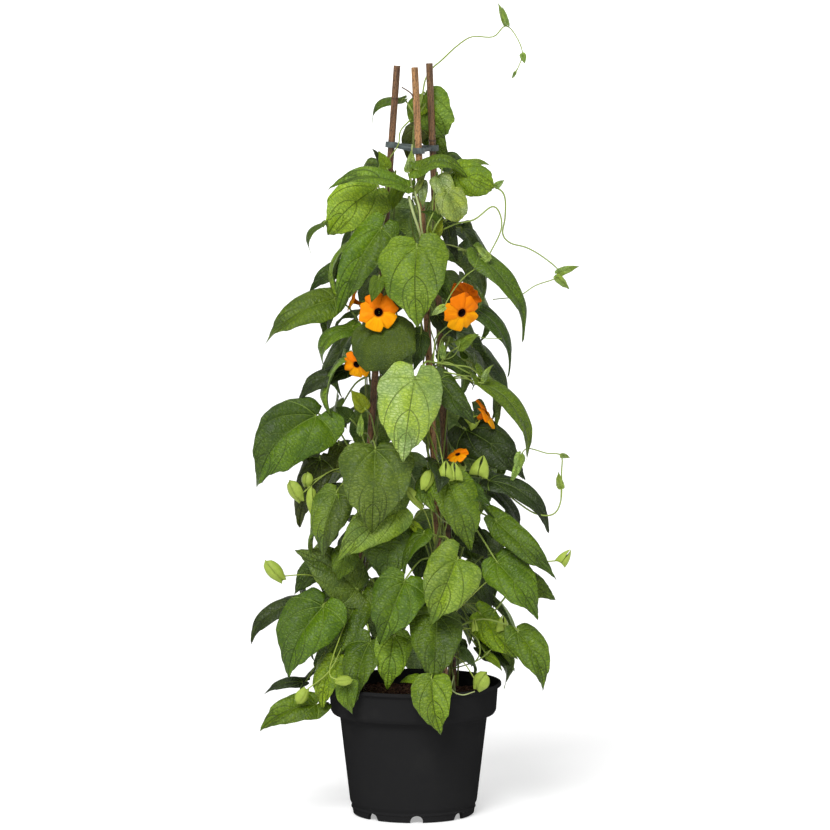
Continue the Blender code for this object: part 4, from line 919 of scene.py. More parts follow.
def add_bract_pair(shape, base, tip, width, face, tone, seed, gape=0.1, full=0.0):
    """A pod of two keeled bracts, tent-like or full and blunt, with a slit between them."""
    rng = random.Random(seed)
    along = (tip - base).normalized()
    out = (face - along * face.dot(along)).normalized()
    across = along.cross(out)
    length = (tip - base).length
    rows, cols = 14, 12
    a = np.linspace(0.0, 1.0, rows + 1)[:, None]
    s = np.linspace(-1.0, 1.0, cols + 1)[None, :]
    tent = 0.595 * (0.82 + 0.9 * a) * (1.0 - a) ** 0.95
    pod = 0.5 * np.clip(np.sin(math.pi * (0.1 + 0.83 * a)), 0.0, None) ** 0.7
    pod = pod * np.minimum(1.0, (1.0 - a) * 9.0)
    outline = tent * (1.0 - full) + pod * full
    depth = outline * (0.3 + 0.4 * np.minimum(1.0, a * 5.0)) * (1.0 - 0.25 * a)
    slit = gape * (1.0 - 0.85 * full) * np.sin(math.pi * np.clip((a - 0.42) / 0.56, 0.0, 1.0))
    corner = 0.09 * np.clip(1.0 - a / 0.16, 0.0, None) * (1.0 - np.abs(s))
    tint = np.array(linear(TONES[tone])) * rng.uniform(0.9, 1.1)
    frame_of = np.array([tuple(along), tuple(across), tuple(out)])
    faces = sheet_faces(rows, cols)
    for way in (1.0, -1.0):
        shift = 1.0 + rng.uniform(-0.05, 0.05)
        ripple = (0.03 + 0.04 * full) * np.cos(4.0 * math.pi * s) * outline
        x = (a - corner) * length * shift
        wide = outline * (1.0 - np.abs(s) ** 1.25) + 0.5 * slit * np.abs(s) ** 3 + 0.012 - 0.05 * full
        deep = np.sign(s) * depth * (1.0 - (1.0 - np.abs(s)) ** 1.7) + ripple * s
        outer = np.stack([x, way * wide * width, deep * width], axis=2).reshape(-1, 3)
        inner = np.stack([x, way * (wide * 0.9 + 0.005) * width, deep * 0.86 * width], axis=2)
        places = np.array(base) + np.concatenate([outer, inner.reshape(-1, 3)]) @ frame_of
        gap = np.abs(np.sin(2.0 * math.pi * s)) * outline * width * 0.35
        vein = np.stack([gap, np.broadcast_to(np.abs(s), gap.shape), x], axis=2).reshape(-1, 3)
        own = rng.uniform(0.0, 500.0)
        leaf = np.stack([wide * width, x, np.full(x.shape, own)], axis=2).reshape(-1, 3)
        # The inner faces are painted much darker than the outer ones, a painted shade inside the pod
        shape.add(places, faces, np.repeat([tint, tint * 0.45], len(outer), axis=0), tint * 1.25,
                  np.tile(leaf, (2, 1)), np.tile(vein, (2, 1)))


def add_bud(buds, stems, row, stem, seed):
    """A bud of two folded bracts, with its stalk."""
    _, _, bx, bz, tx, tz, width, depth = row
    base, tip = seen(bx, bz, depth), seen(tx, tz, depth)
    rng = random.Random(seed)
    face = Vector((rng.uniform(-0.6, 0.6), -1.0, rng.uniform(-0.2, 0.4)))
    full = 1.0 if row[0] in FULL_BUDS else 0.0
    add_bract_pair(buds, base, tip, width * (1.2 - 0.1 * full), face, "bud", seed, full=full)
    sink = base + (tip - base) * BUD_SINK
    if row[0] in BENDS:
        bend = seen(*BENDS[row[0]])
        points = [stem.spot(bend), bend, sink]
    else:
        points = stalk_points(stem.spot(base), sink)
    soft_tube(stems, points, (0.55, 0.5, 0.6), 8, linear(TONES["bud"]))


def add_bracts(buds, stems, row, stem, seed):
    """The green bracts that a bloom sits in, with their stalk."""
    _, _, x, z, depth, _, facing = row
    eye = seen(x, z, depth)
    facing = Vector(facing).normalized()
    front = eye - facing * (BLOOM_TUBE + GAP)
    back = front - facing * BRACT_LENGTH
    side = facing.cross(Vector((0.0, 0.0, 1.0))).normalized()
    add_bract_pair(buds, back, front + facing * 4.0, 12.0, side, "bud", seed, gape=0.5)
    start = stem.spot(back)
    sink = back + facing * (BRACT_LENGTH * BRACT_SINK)
    tint = linear(TONES["bud"])
    soft_tube(stems, stalk_points(start, sink), (0.6, 0.5, 0.6), 8, tint)


def add_shoots(leaves, stems, side, stem):
    """The free shoots of a cane's stem, with their small leaves."""
    tint = linear(TONES["stalk"])
    for name, cane, places in SHOOTS:
        if cane != side:
            continue
        points = [seen(*place) for place in places]
        start = stem.points[-1] if name == "top_shoot" else stem.spot(points[0])
        radii = np.linspace(0.85, 0.45, len(points) + 1)
        soft_tube(stems, [start] + points, radii, 8, tint)
        for k, row in enumerate(SHOOT_LEAVES):
            shoot, bx, bz, tx, tz, width, depth = row
            if shoot != name:
                continue
            base, tip = seen(bx, bz, depth), seen(tx, tz, depth)
            blade = Blade(base, tip, width, TO_EYE, 0.0, SHOOT_ARCH)
            add_leaf(leaves, blade, "palest", 0.4, 0.1, SHOOT_SEED + k)
            near = min(points, key=lambda spot: (spot - base).length)
            soft_tube(stems, [near, base - blade.along, base + blade.along * 2.0],
                      (0.5, 0.45, 0.3), 6, tint)


def add_inner_leaves(leaves, stems, side, stem):
    """Smaller leaves close to the cane, on the side away from the eye, that fill the vine."""
    rng = random.Random(INNER_SEEDS[side])
    at, _ = cane_line(side)
    for k in range(INNER_LEAVES[side]):
        height = INNER_LOW + (INNER_HIGH - INNER_LOW) * rng.random() ** 1.5
        degrees = rng.uniform(*INNER_TURNS[side])
        size = rng.uniform(24.0, 40.0)
        middle = at(height)
        out = around(degrees)
        base = middle + out * rng.uniform(12.0, 26.0)
        way = out * rng.uniform(0.2, 0.9) + around(degrees + 90.0) * rng.uniform(-0.6, 0.6)
        way -= up(rng.uniform(0.2, 0.9))
        tip = base + way.normalized() * size
        turn = rng.uniform(-30.0, 30.0)
        blade = Blade(base, tip, size * rng.uniform(0.66, 0.84), out + up(0.4), turn, BACK_ARCH)
        tone = INNER_TONES[rng.randrange(len(INNER_TONES))]
        fold, curl = rng.uniform(0.15, 0.35), rng.uniform(0.1, 0.6)
        add_leaf(leaves, blade, tone, fold, curl, INNER_SEED + k, FAR_GRIDS)
        add_leaf_stalk(stems, blade, stem)


def add_runners(shape, side):
    """Thin free stems, stalks and tendrils, along given points."""
    for cane, tone, thick, places in RUNNERS:
        if cane == side:
            points = [seen(*place) for place in places]
            soft_tube(shape, points, (thick / 2.0, thick * 0.4), 7, linear(TONES[tone]))


def add_main_stem(shape, side, stem):
    """The stem that twines up the cane, brown at its foot and green above."""
    line = smooth_steps([tuple(place) for place in stem.points], 4)
    sides = 10
    share = np.linspace(0.0, 1.0, len(line))[:, None]
    low = np.array(linear(TONES["twig"]))
    high = np.array(linear(TONES["stem"]))
    mix = np.clip(share * 2.4, 0.0, 1.0)
    tint = np.repeat(low * (1.0 - mix) + high * mix, sides, axis=0)
    radii = STEM_RADIUS * (1.0 - 0.35 * share[:, 0])
    tube(shape, line, radii, sides, tint)


def add_strands(shape, side):
    """Thinner stems that twine up the same cane, the other way round from the main one."""
    at, _ = cane_line(side)
    rng = random.Random(STRAND_SEEDS[side])
    for k in range(STRANDS):
        first = rng.uniform(0.0, 360.0)
        pitch = rng.uniform(150.0, 230.0)
        top = STEM_TOPS[side] - rng.uniform(10.0, 90.0)
        reach = rng.uniform(4.6, 9.0)
        points = []
        height = SOIL_TOP - 3.0
        while height < top:
            turn = first + 360.0 * (height - SOIL_TOP) / pitch
            wander = reach + 1.5 * math.sin(height * 0.05 + k)
            points.append(at(height) + around(turn) * wander)
            height += 14.0
        tone = "stalk" if k % 2 else "stem"
        soft_tube(shape, points, np.linspace(0.95, 0.5, len(points)), 6, linear(TONES[tone]), 3)


def make_vine(side, leaf_look, bract_look, stem_look):
    """The fine leaves, buds, bracts and stems that stand for one leafy stem."""
    leaves = Shape()
    far_leaves = Shape()
    buds = Shape()
    stems = Shape()
    stem = Stem(side)
    add_main_stem(stems, side, stem)
    for k, row in enumerate(LEAVES):
        if row[1] == side:
            blade = leaf_blade(row)
            add_leaf(leaves, blade, *row[11:], k, form=LEAF_FORMS.get(row[0]))
            add_leaf_stalk(stems, blade, stem, row[0])
    for k, blade in back_leaves(side):
        rng = random.Random(FAR_SEED + k)
        tone = BACK_TONES[rng.randrange(len(BACK_TONES))]
        fold, curl = rng.uniform(0.16, 0.36), rng.uniform(0.1, 0.5)
        add_leaf(far_leaves, blade, tone, fold, curl, FAR_SEED + k, FAR_GRIDS)
        add_leaf_stalk(stems, blade, stem)
    for k, row in enumerate(BUDS):
        if row[1] == side:
            add_bud(buds, stems, row, stem, BUD_SEED + k)
    for k, row in enumerate(BLOOMS):
        if row[1] == side:
            add_bracts(buds, stems, row, stem, BRACT_SEED + k)
    add_shoots(leaves, stems, side, stem)
    for k, row in enumerate(SMALL_LEAVES):
        if row[1] == side:
            blade = leaf_blade(row)
            add_leaf(leaves, blade, row[11], SMALL_FOLD, SMALL_CURL, SMALL_SEED + k)
            add_leaf_stalk(stems, blade, stem)
    for k, row in enumerate(SMALL_BUDS):
        if row[1] == side:
            add_bud(buds, stems, row, stem, SMALL_BUD_SEED + k)
    add_inner_leaves(far_leaves, stems, side, stem)
    add_strands(stems, side)
    add_runners(stems, side)
    node = "vine_" + side
    leaves.make("leaves_" + side, leaf_look, node)
    if far_leaves.count:
        far_leaves.make("far_leaves_" + side, leaf_look, node)
    if buds.count:
        buds.make("buds_" + side, bract_look, node)
    stems.make("stems_" + side, stem_look, node)


def petal_points(radius, throat, seed, rows, cols):
    """Points of one petal in its own plane: outwards, sideways and up, with their shares."""
    rng = random.Random(seed)
    t = np.linspace(0.0, 1.0, rows + 1)[:, None]
    s = np.linspace(-1.0, 1.0, cols + 1)[None, :]
    angle = s * math.radians(PETAL_SPREAD) * (1.0 + 0.0 * t)
    # The outer edge is cut off nearly straight, uneven, and falls away at its corners
    corner = np.clip((np.abs(s) - 0.55) / 0.45, 0.0, 1.0)
    edge = 0.88 / np.cos(angle) * (1.0 - 0.34 * corner ** 2 * (3.0 - 2.0 * corner))
    edge = edge + 0.035 * np.sin(3.4 * s + rng.uniform(0.0, 6.0)) + rng.uniform(-0.03, 0.05)
    reach = throat + (radius * edge - throat) * t
    x = reach * np.cos(angle)
    y = reach * np.sin(angle)
    z = radius * (0.16 * t * (1.0 - t) - rng.uniform(0.06, 0.16) * t ** 2)
    z = z + 0.05 * radius * t ** 2 * np.sin(s * 4.0 + rng.uniform(0.0, 6.0))
    z = z - 0.04 * radius * t * (1.0 - t) * 4.0 * np.exp(-(s / 0.22) ** 2)
    z = z + PETAL_LAP * s * np.minimum(1.0, 4.0 * t)
    return x, y, z, t + 0.0 * s, s + 0.0 * t


def make_bloom(row, index, look):
    """A bloom: five broad overlapping petals, a dark throat and a funnel behind them."""
    name, _, x0, z0, depth, diameter, facing = row
    eye = np.array(seen(x0, z0, depth))
    facing = Vector(facing).normalized()
    turn = np.array(facing.to_track_quat("Z", "Y").to_matrix()).T
    radius = diameter / 2.0
    throat = radius * THROAT_SHARE
    shape = Shape()
    rows, cols = 14, 18
    faces = sheet_faces(rows, cols)
    for k in range(PETALS):
        angle = math.radians(360.0 * (k + 0.5) / PETALS)
        x, y, z, t, s = petal_points(radius, throat, index * 10 + k, rows, cols)
        c, d = math.cos(angle), math.sin(angle)
        top = np.stack([x * c - y * d, x * d + y * c, z + 0.15], axis=2).reshape(-1, 3)
        low = top - (0.0, 0.0, 0.3)
        # How far the petal points up, which sets its painted shade
        raised = 0.5 + 0.5 * float((np.array((c, d, 0.0)) @ turn)[2])
        leaf = np.stack([t, s, np.full(t.shape, float(k + 7 * index))], axis=2).reshape(-1, 3)
        tints = np.repeat([(0.0, 0.0, raised), (0.0, 1.0, raised)], len(top), axis=0)
        shape.add(eye + np.concatenate([top, low]) @ turn, faces, tints, leaf=np.tile(leaf, (2, 1)))
    inside = ((throat + 0.9, -0.05), (throat + 0.2, -0.3), (throat - 0.3, -1.3),
              (throat * 0.7, -3.6), (throat * 0.32, -6.5), (0.4, -7.0))
    outside = ((throat + 1.0, -0.5), (throat + 0.4, -1.6), (throat * 0.82, -4.6),
               (throat * 0.6, -BLOOM_TUBE), (0.5, -BLOOM_TUBE))
    sides = 40
    angles = np.linspace(0.0, 2.0 * math.pi, sides, endpoint=False)
    for rings, dark in ((inside, 1.0), (outside, 0.0)):
        points = [np.stack([r * np.cos(angles), r * np.sin(angles), np.full(sides, h)], axis=1)
                  for r, h in rings]
        faces = []
        for k in range(len(rings) - 1):
            for i in range(sides):
                j = (i + 1) % sides
                low, high = k * sides, (k + 1) * sides
                faces.append((low + i, high + i, high + j, low + j))
        faces.append(tuple(range((len(rings) - 1) * sides, len(rings) * sides)))
        places = eye + np.concatenate(points) @ turn
        shape.add(places, faces, (dark, 1.0 - dark, 0.5))
    shape.make("fine_" + name, look, name)


def mesh_from(shape, name):
    """The mesh of a built shape, which is freed."""
    mesh = bpy.data.meshes.new(name)
    shape.to_mesh(mesh)
    shape.free()
    return mesh


def turned_mesh(name, profile, steps):
    """A closed turned mesh from the radius and height of its profile."""
    shape = bmesh.new()
    rings = []
    for radius, height in profile:
        if radius == 0.0:
            rings.append([shape.verts.new((0.0, 0.0, height * MM))])
            continue
        ring = []
        for k in range(steps):
            spot = around(360.0 / steps * k) * radius + up(height)
            ring.append(shape.verts.new(spot * MM))
        rings.append(ring)
    pairs = list(zip(rings, rings[1:]))
    if profile[0][0] > 0.0:
        pairs.append((rings[-1], rings[0]))
    for low, high in pairs:
        for k in range(steps):
            other = (k + 1) % steps
            corners = [low[k % len(low)], low[other % len(low)],
                       high[other % len(high)], high[k % len(high)]]
            shape.faces.new(list(dict.fromkeys(corners)))
    bmesh.ops.recalc_face_normals(shape, faces=shape.faces)
    return mesh_from(shape, name)


def lay_between(shape, name, low, high, group):
    """A shape built along Z, laid between two points as an object of a collection."""
    turn = (high - low).to_track_quat("Z", "Y").to_matrix().to_4x4()
    turn.translation = (low + high) / 2.0
    bmesh.ops.transform(shape, matrix=turn, verts=shape.verts)
    bmesh.ops.scale(shape, vec=(MM, MM, MM), verts=shape.verts)
    group.objects.link(bpy.data.objects.new(name, mesh_from(shape, name)))


def rod_object(name, low, high, radius, sides, group):
    """A straight round rod between two points."""
    shape = bmesh.new()
    bmesh.ops.create_cone(shape, cap_ends=True, segments=sides, radius1=radius, radius2=radius,
                          depth=(high - low).length)
    lay_between(shape, name, low, high, group)


def with_boolean(mesh, operation, group):
    """The mesh joined with or cut by a collection's objects, which are then removed."""
    holder = bpy.data.objects.new("holder", mesh)
    bpy.context.scene.collection.objects.link(holder)
    change = holder.modifiers.new("change", "BOOLEAN")
    change.operation = operation
    change.solver = "EXACT"
    change.operand_type = "COLLECTION"
    change.collection = group
    depsgraph = bpy.context.evaluated_depsgraph_get()
    made = bpy.data.meshes.new_from_object(holder.evaluated_get(depsgraph))
    for item in [holder] + list(group.objects):
        bpy.data.objects.remove(item, do_unlink=True)
    bpy.data.collections.remove(group)
    return made


def new_group(name):
    """A collection of the scene, for pieces that are joined or cut away."""
    group = bpy.data.collections.new(name)
    bpy.context.scene.collection.children.link(group)
    return group


def bevelled(mesh, width, segments, angle):
    """The mesh with its sharp edges rounded."""
    shape = bmesh.new()
    shape.from_mesh(mesh)
    sharp = [edge for edge in shape.edges
             if len(edge.link_faces) == 2 and edge.calc_face_angle() > math.radians(angle)]
    bmesh.ops.bevel(shape, geom=sharp, offset=width * MM, segments=segments, affect="EDGES",
                    profile=0.5, clamp_overlap=True)
    shape.to_mesh(mesh)
    shape.free()
    return mesh


def shaded(mesh, angle=35.0):
    """The mesh shaded smooth, with its sharp edges kept."""
    mesh.shade_smooth()
    mesh.set_sharp_from_angle(angle=math.radians(angle))
    return mesh


def rounded(profile, radius, steps=4):
    """A closed profile with each corner rounded, where its sides are long enough."""
    made = []
    count = len(profile)
    for k in range(count):
        before, here, after = profile[k - 1], profile[k], profile[(k + 1) % count]
        if here[0] == 0.0:
            made.append(here)
            continue
        here = Vector(here)
        ways = [Vector(before) - here, Vector(after) - here]
        cut = min(radius, ways[0].length * 0.45, ways[1].length * 0.45)
        first = here + ways[0].normalized() * cut
        last = here + ways[1].normalized() * cut
        for step in range(steps + 1):
            share = step / steps
            spot = first * (1.0 - share) ** 2 + here * (2.0 * share * (1.0 - share)) + last * share ** 2
            made.append((spot.x, spot.y))
    return made


def wall_radius(height):
    """Outer radius of the pot's body at a height."""
    share = (height - BODY_FOOT) / (BODY_TOP - BODY_FOOT)
    return BODY_FOOT_RADIUS + share * (BODY_TOP_RADIUS - BODY_FOOT_RADIUS)


def make_pot(look):
    """The pot with rounded edges, its foot step, notches and drain holes."""
    profile = (
        (RIM_RADIUS, POT_HEIGHT),
        (RIM_RADIUS, POT_HEIGHT - RIM_BEAD),
        (BAND_TOP_RADIUS, POT_HEIGHT - RIM_BEAD - EASE),
        (BAND_FOOT_RADIUS + EASE / 2.0, BAND_FOOT + RIM_BEAD),
        (BAND_FOOT_RADIUS - EASE, BAND_FOOT),
        (BODY_TOP_RADIUS + EASE, BODY_TOP + EASE),
        (BODY_TOP_RADIUS, BODY_TOP - EASE),
        (BODY_FOOT_RADIUS, BODY_FOOT),
        (FOOT_RADIUS + EASE, FLOOR_LOW + EASE),
        (FOOT_RADIUS + 1.6 * EASE, FLOOR_LOW + 0.2),
        (FOOT_RADIUS + 1.6 * EASE, FLOOR_LOW - 0.8),
        (FOOT_RADIUS + 0.9 * EASE, FLOOR_LOW - 1.4),
        (FOOT_RADIUS + EASE / 2.0, EASE),
        (FOOT_RADIUS - EASE, 0.0),
        (FOOT_RADIUS - FOOT_WIDTH, 0.0),
        (FOOT_RADIUS - FOOT_WIDTH, FLOOR_LOW),
        (0.0, FLOOR_LOW),
        (0.0, FLOOR_HIGH),
        (wall_radius(FLOOR_HIGH) - POT_WALL, FLOOR_HIGH),
        (BODY_TOP_RADIUS - POT_WALL, BODY_TOP + EASE),
        (BAND_FOOT_RADIUS - POT_WALL, BAND_FOOT + RIM_BEAD),
        (BAND_TOP_RADIUS - POT_WALL, POT_HEIGHT - RIM_BEAD - EASE),
        (RIM_RADIUS - RIM_WIDTH, POT_HEIGHT),
    )
    line = rounded(profile, 0.9)
    start = line.index((0.0, FLOOR_HIGH))
    line = line[start:] + line[:start]
    mesh = turned_mesh("pot", line, 144)
    cutters = new_group("pot_cutters")
    for k in range(NOTCHES):
        out = around(NOTCH_TURN + 360.0 / NOTCHES * k)
        inner = out * NOTCH_INNER + up(NOTCH_RAISE)
        outer = out * NOTCH_OUTER + up(NOTCH_RAISE)
        rod_object("notch", inner, outer, NOTCH_RADIUS, 24, cutters)
        spot = around(NOTCH_TURN + 360.0 / NOTCHES * (k + 0.5)) * DRAIN_RING
        low, high = spot + up(FLOOR_LOW - CUT_PAST), spot + up(FLOOR_HIGH + CUT_PAST)
        rod_object("drain", low, high, DRAIN_RADIUS, 24, cutters)
    mesh = with_boolean(mesh, "DIFFERENCE", cutters)
    piece_of("fine_pot", shaded(mesh, 40.0), look, "pot")


def make_soil(look):
    """Loose peat: a rough top with crumbs and fibres on it."""
    radius = BAND_FOOT_RADIUS - POT_WALL - GAP
    rings, spokes = 60, 150
    points = []
    for i in range(rings + 1):
        r = radius * i / rings
        for k in range(spokes):
            out = around(360.0 / spokes * k)
            spot = out * r
            rough = noise.fractal(spot * 0.11, 0.7, 2.1, 5) * 1.5
            rough += abs(noise.noise(spot * 0.5)) * 1.2
            points.append((spot.x, spot.y, SOIL_TOP - 0.6 + rough - 1.0 * (i / rings) ** 8))
    top = len(points)
    for height, share in ((BAND_FOOT + 4.0, 1.0), (BODY_TOP, 0.88)):
        for k in range(spokes):
            spot = around(360.0 / spokes * k) * radius * share
            points.append((spot.x, spot.y, height))
    faces = []
    for i in range(rings + 2):
        for k in range(spokes):
            j = (k + 1) % spokes
            faces.append((i * spokes + k, (i + 1) * spokes + k, (i + 1) * spokes + j, i * spokes + j))
    faces.append(tuple(top + spokes + k for k in range(spokes)))
    soil = Shape()
    soil.add(points, faces, (0.0, 0.0, 0.0))
    rng = random.Random(SOIL_SEED)
    golden = (1.0 + math.sqrt(5.0)) / 2.0
    corners = [Vector(c).normalized() for c in (
        (-1, golden, 0), (1, golden, 0), (-1, -golden, 0), (1, -golden, 0),
        (0, -1, golden), (0, 1, golden), (0, -1, -golden), (0, 1, -golden),
        (golden, 0, -1), (golden, 0, 1), (-golden, 0, -1), (-golden, 0, 1))]
    sides = ((0, 11, 5), (0, 5, 1), (0, 1, 7), (0, 7, 10), (0, 10, 11), (1, 5, 9), (5, 11, 4),
             (11, 10, 2), (10, 7, 6), (7, 1, 8), (3, 9, 4), (3, 4, 2), (3, 2, 6), (3, 6, 8),
             (3, 8, 9), (4, 9, 5), (2, 4, 11), (6, 2, 10), (8, 6, 7), (9, 8, 1))
    for _ in range(CRUMBS):
        out = around(rng.uniform(0.0, 360.0)) * (radius - 1.5) * math.sqrt(rng.random())
        size = rng.choice((0.5, 0.7, 0.9, 1.2, 1.2, 1.7, 2.3)) * rng.uniform(0.8, 1.2)
        place = out + up(SOIL_TOP + rng.uniform(-0.2, 0.9))
        stretch = Vector((rng.uniform(0.7, 1.4), rng.uniform(0.7, 1.3), rng.uniform(0.5, 0.9)))
        points = [place + Vector([c * s for c, s in zip(corner, stretch)]) * size * rng.uniform(0.75, 1.2)
                  for corner in corners]
        shade = rng.random()
        soil.add([tuple(p) for p in points], sides, (shade, 0.0, 0.0))
    for _ in range(FIBRES):
        out = around(rng.uniform(0.0, 360.0)) * (radius - 8.0) * math.sqrt(rng.random())
        way = around(rng.uniform(0.0, 360.0)) * rng.uniform(2.0, 5.0)
        low = SOIL_TOP + 0.6
        points = [out - way + up(low), out + up(low + rng.uniform(0.6, 1.8)), out + way + up(low)]
        soft_tube(soil, points, (0.22, 0.16), 5, (0.6 + 0.4 * rng.random(), 1.0, 0.0), 3)
    soil.make("fine_soil", look, "soil")


def make_cane(side, look):
    """A bamboo cane with its nodes, a cut top and an uneven skin."""
    at, top = cane_line(side)
    rng = random.Random(CANE_SEEDS[side])
    low = SOIL_TOP - 18.0
    nodes = []
    height = low + rng.uniform(20.0, 60.0)
    while height < top - 12.0:
        nodes.append(height)
        height += rng.uniform(92.0, 128.0)
    heights = list(np.arange(low, top - 0.5, 3.0)) + [top - 0.35, top]
    for node in nodes:
        heights += [node - 1.6, node - 0.8, node, node + 0.7, node + 1.4]
    heights = sorted(set(round(float(h), 2) for h in heights if h <= top))
    sides = 20
    shape = Shape()
    points = []
    looks = []
    axis = (at(top) - at(low)).normalized()
    side_way = axis.cross(Vector((0.0, 1.0, 0.0))).normalized()
    other = axis.cross(side_way)
    for height in heights:
        ring_radius = CANE_RADIUS * 0.985
        for node in nodes:
            ring_radius += 0.3 * math.exp(-((height - node) / 0.8) ** 2)
            ring_radius -= 0.14 * math.exp(-((height - node - 2.2) / 1.6) ** 2)
        if height > top - 0.2:
            ring_radius -= 0.25
        for k in range(sides):
            turn = 2.0 * math.pi * k / sides
            rough = 0.05 * noise.noise(Vector((math.cos(turn), math.sin(turn), height * 0.02 + 7.0)))
            way = side_way * math.cos(turn) + other * math.sin(turn)
            points.append(tuple(at(height) + way * (ring_radius + rough)))
            near = min(abs(height - node) for node in nodes)
            looks.append((turn * CANE_RADIUS, height, near))
    faces = []
    count = len(heights)
    for i in range(count - 1):
        faces += ring_faces(i * sides, (i + 1) * sides, sides)
    faces.append(tuple(reversed(range(sides))))
    pith = len(points)
    for share, drop in ((0.42, 0.0), (0.3, 0.9)):
        for k in range(sides):
            turn = 2.0 * math.pi * k / sides
            way = side_way * math.cos(turn) + other * math.sin(turn)
            points.append(tuple(at(top - drop) + way * CANE_RADIUS * share))
            looks.append((0.0, 0.0, 500.0))
    rings = [(count - 1) * sides, pith, pith + sides]
    for first, second in zip(rings, rings[1:]):
        faces += ring_faces(first, second, sides)
    faces.append(tuple(pith + sides + k for k in range(sides)))
    shape.add(points, faces, CANE_TONES[side], leaf=looks)
    piece = shape.make("fine_cane_" + side, look, "cane_" + side)
    piece.data.set_sharp_from_angle(angle=math.radians(50.0))


def make_clip(look):
    """The clip with rounded rings and bars."""
    joined = new_group("clip_pieces")
    bores = new_group("clip_bores")
    middles = []
    half = CLIP_RING_HEIGHT / 2.0
    for side, height in CLIP_HEIGHTS.items():
        at, _ = cane_line(side)
        rod_object("ring", at(height - half), at(height + half), CLIP_RING_RADIUS, 40, joined)
        low, high = at(height - CLIP_BORE_REACH), at(height + CLIP_BORE_REACH)
        rod_object("bore", low, high, CANE_RADIUS + CLIP_CLEARANCE, 40, bores)
        middles.append(at(height))
    for k in range(3):
        start, end = middles[k], middles[(k + 1) % 3]
        shape = bmesh.new()
        bmesh.ops.create_cube(shape, size=1.0)
        size = (CLIP_BAR_THICK, CLIP_BAR_HEIGHT, (end - start).length)
        bmesh.ops.scale(shape, vec=size, verts=shape.verts)
        lay_between(shape, "bar", start, end, joined)
    first = joined.objects[0]
    mesh = first.data.copy()
    bpy.data.objects.remove(first, do_unlink=True)
    mesh = with_boolean(mesh, "UNION", joined)
    mesh = with_boolean(mesh, "DIFFERENCE", bores)
    mesh = bevelled(mesh, 0.35, 2, 40.0)
    piece_of("fine_cane_clip", shaded(mesh, 50.0), look, "cane_clip")


class Nodes:
    """A material's nodes, made and linked in short steps."""

    def __init__(self, name):
        self.material = bpy.data.materials.new(name)
        self.material.use_nodes = True
        self.tree = self.material.node_tree
        self.shader = self.tree.nodes["Principled BSDF"]

    def put(self, socket, value):
        """Link an output to a socket, or set the socket's value."""
        if isinstance(value, bpy.types.NodeSocket):
            self.tree.links.new(value, socket)
        elif isinstance(value, tuple) and len(value) == 3 and socket.type == "RGBA":
            socket.default_value = (*value, 1.0)
        else:
            socket.default_value = value

    def add(self, kind, output, settings=None, **inputs):
        """A node with settings and inputs, and one of its outputs."""
        node = self.tree.nodes.new(kind)
        for key, value in (settings or {}).items():
            setattr(node, key, value)
        for key, value in inputs.items():
            socket = node.inputs[int(key[1:])] if key[1:].isdigit() else node.inputs[key]
            self.put(socket, value)
        return node.outputs[output]

    def attribute(self, name):
        """A point's stored look."""
        return self.add("ShaderNodeAttribute", "Vector", {"attribute_name": name})

    def split(self, vector):
        """The three parts of a vector."""
        node = self.tree.nodes.new("ShaderNodeSeparateXYZ")
        self.put(node.inputs[0], vector)
        return node.outputs

    def join(self, x, y, z):
        """A vector of three parts."""
        return self.add("ShaderNodeCombineXYZ", 0, None, _0=x, _1=y, _2=z)

    def math(self, operation, first, second=0.0, third=0.0):
        """The result of a sum."""
        return self.add("ShaderNodeMath", 0, {"operation": operation}, _0=first, _1=second, _2=third)

    def times(self, first, second):
        """Two values multiplied."""
        return self.math("MULTIPLY", first, second)

    def ramp(self, value, low, high, first=0.0, last=1.0):
        """A value taken smoothly from one range to another."""
        return self.add("ShaderNodeMapRange", 0, {"interpolation_type": "SMOOTHSTEP"},
                        _0=value, _1=low, _2=high, _3=first, _4=last)

    def noise(self, vector, scale, detail=3.0, roughness=0.55, output=0):
        """Cloudy noise over a vector."""
        return self.add("ShaderNodeTexNoise", output, None, Vector=vector, Scale=scale,
                        Detail=detail, Roughness=roughness)

    def cells(self, vector, scale, feature="DISTANCE_TO_EDGE", output="Distance"):
        """Cell noise over a vector."""
        return self.add("ShaderNodeTexVoronoi", output, {"feature": feature}, Vector=vector,
                        Scale=scale)

    def mix(self, share, first, second, blend="MIX"):
        """Two colours mixed by a share."""
        return self.add("ShaderNodeMix", 2, {"data_type": "RGBA", "blend_type": blend},
                        _0=share, _6=first, _7=second)

    def dyed(self, colour, shares):
        """A colour with each of its parts multiplied by a share."""
        return self.mix(1.0, colour, shares, "MULTIPLY")

    def bump(self, height, distance, strength=1.0):
        """A surface relief from a height."""
        node = self.tree.nodes.new("ShaderNodeBump")
        node.inputs["Distance"].default_value = distance * MM
        node.inputs["Strength"].default_value = strength
        self.tree.links.new(height, node.inputs["Height"])
        return node.outputs[0]

    def finish(self, colour, roughness, normal=None, **plain):
        """Set the shader's colour, roughness, relief and plain values."""
        colour = self.dyed(colour, (EXPOSED, EXPOSED, EXPOSED))
        self.put(self.shader.inputs["Base Color"], colour)
        self.put(self.shader.inputs["Roughness"], roughness)
        if normal is not None:
            self.put(self.shader.inputs["Normal"], normal)
        for key, value in plain.items():
            self.shader.inputs[key.replace("_", " ")].default_value = value
        return self.material


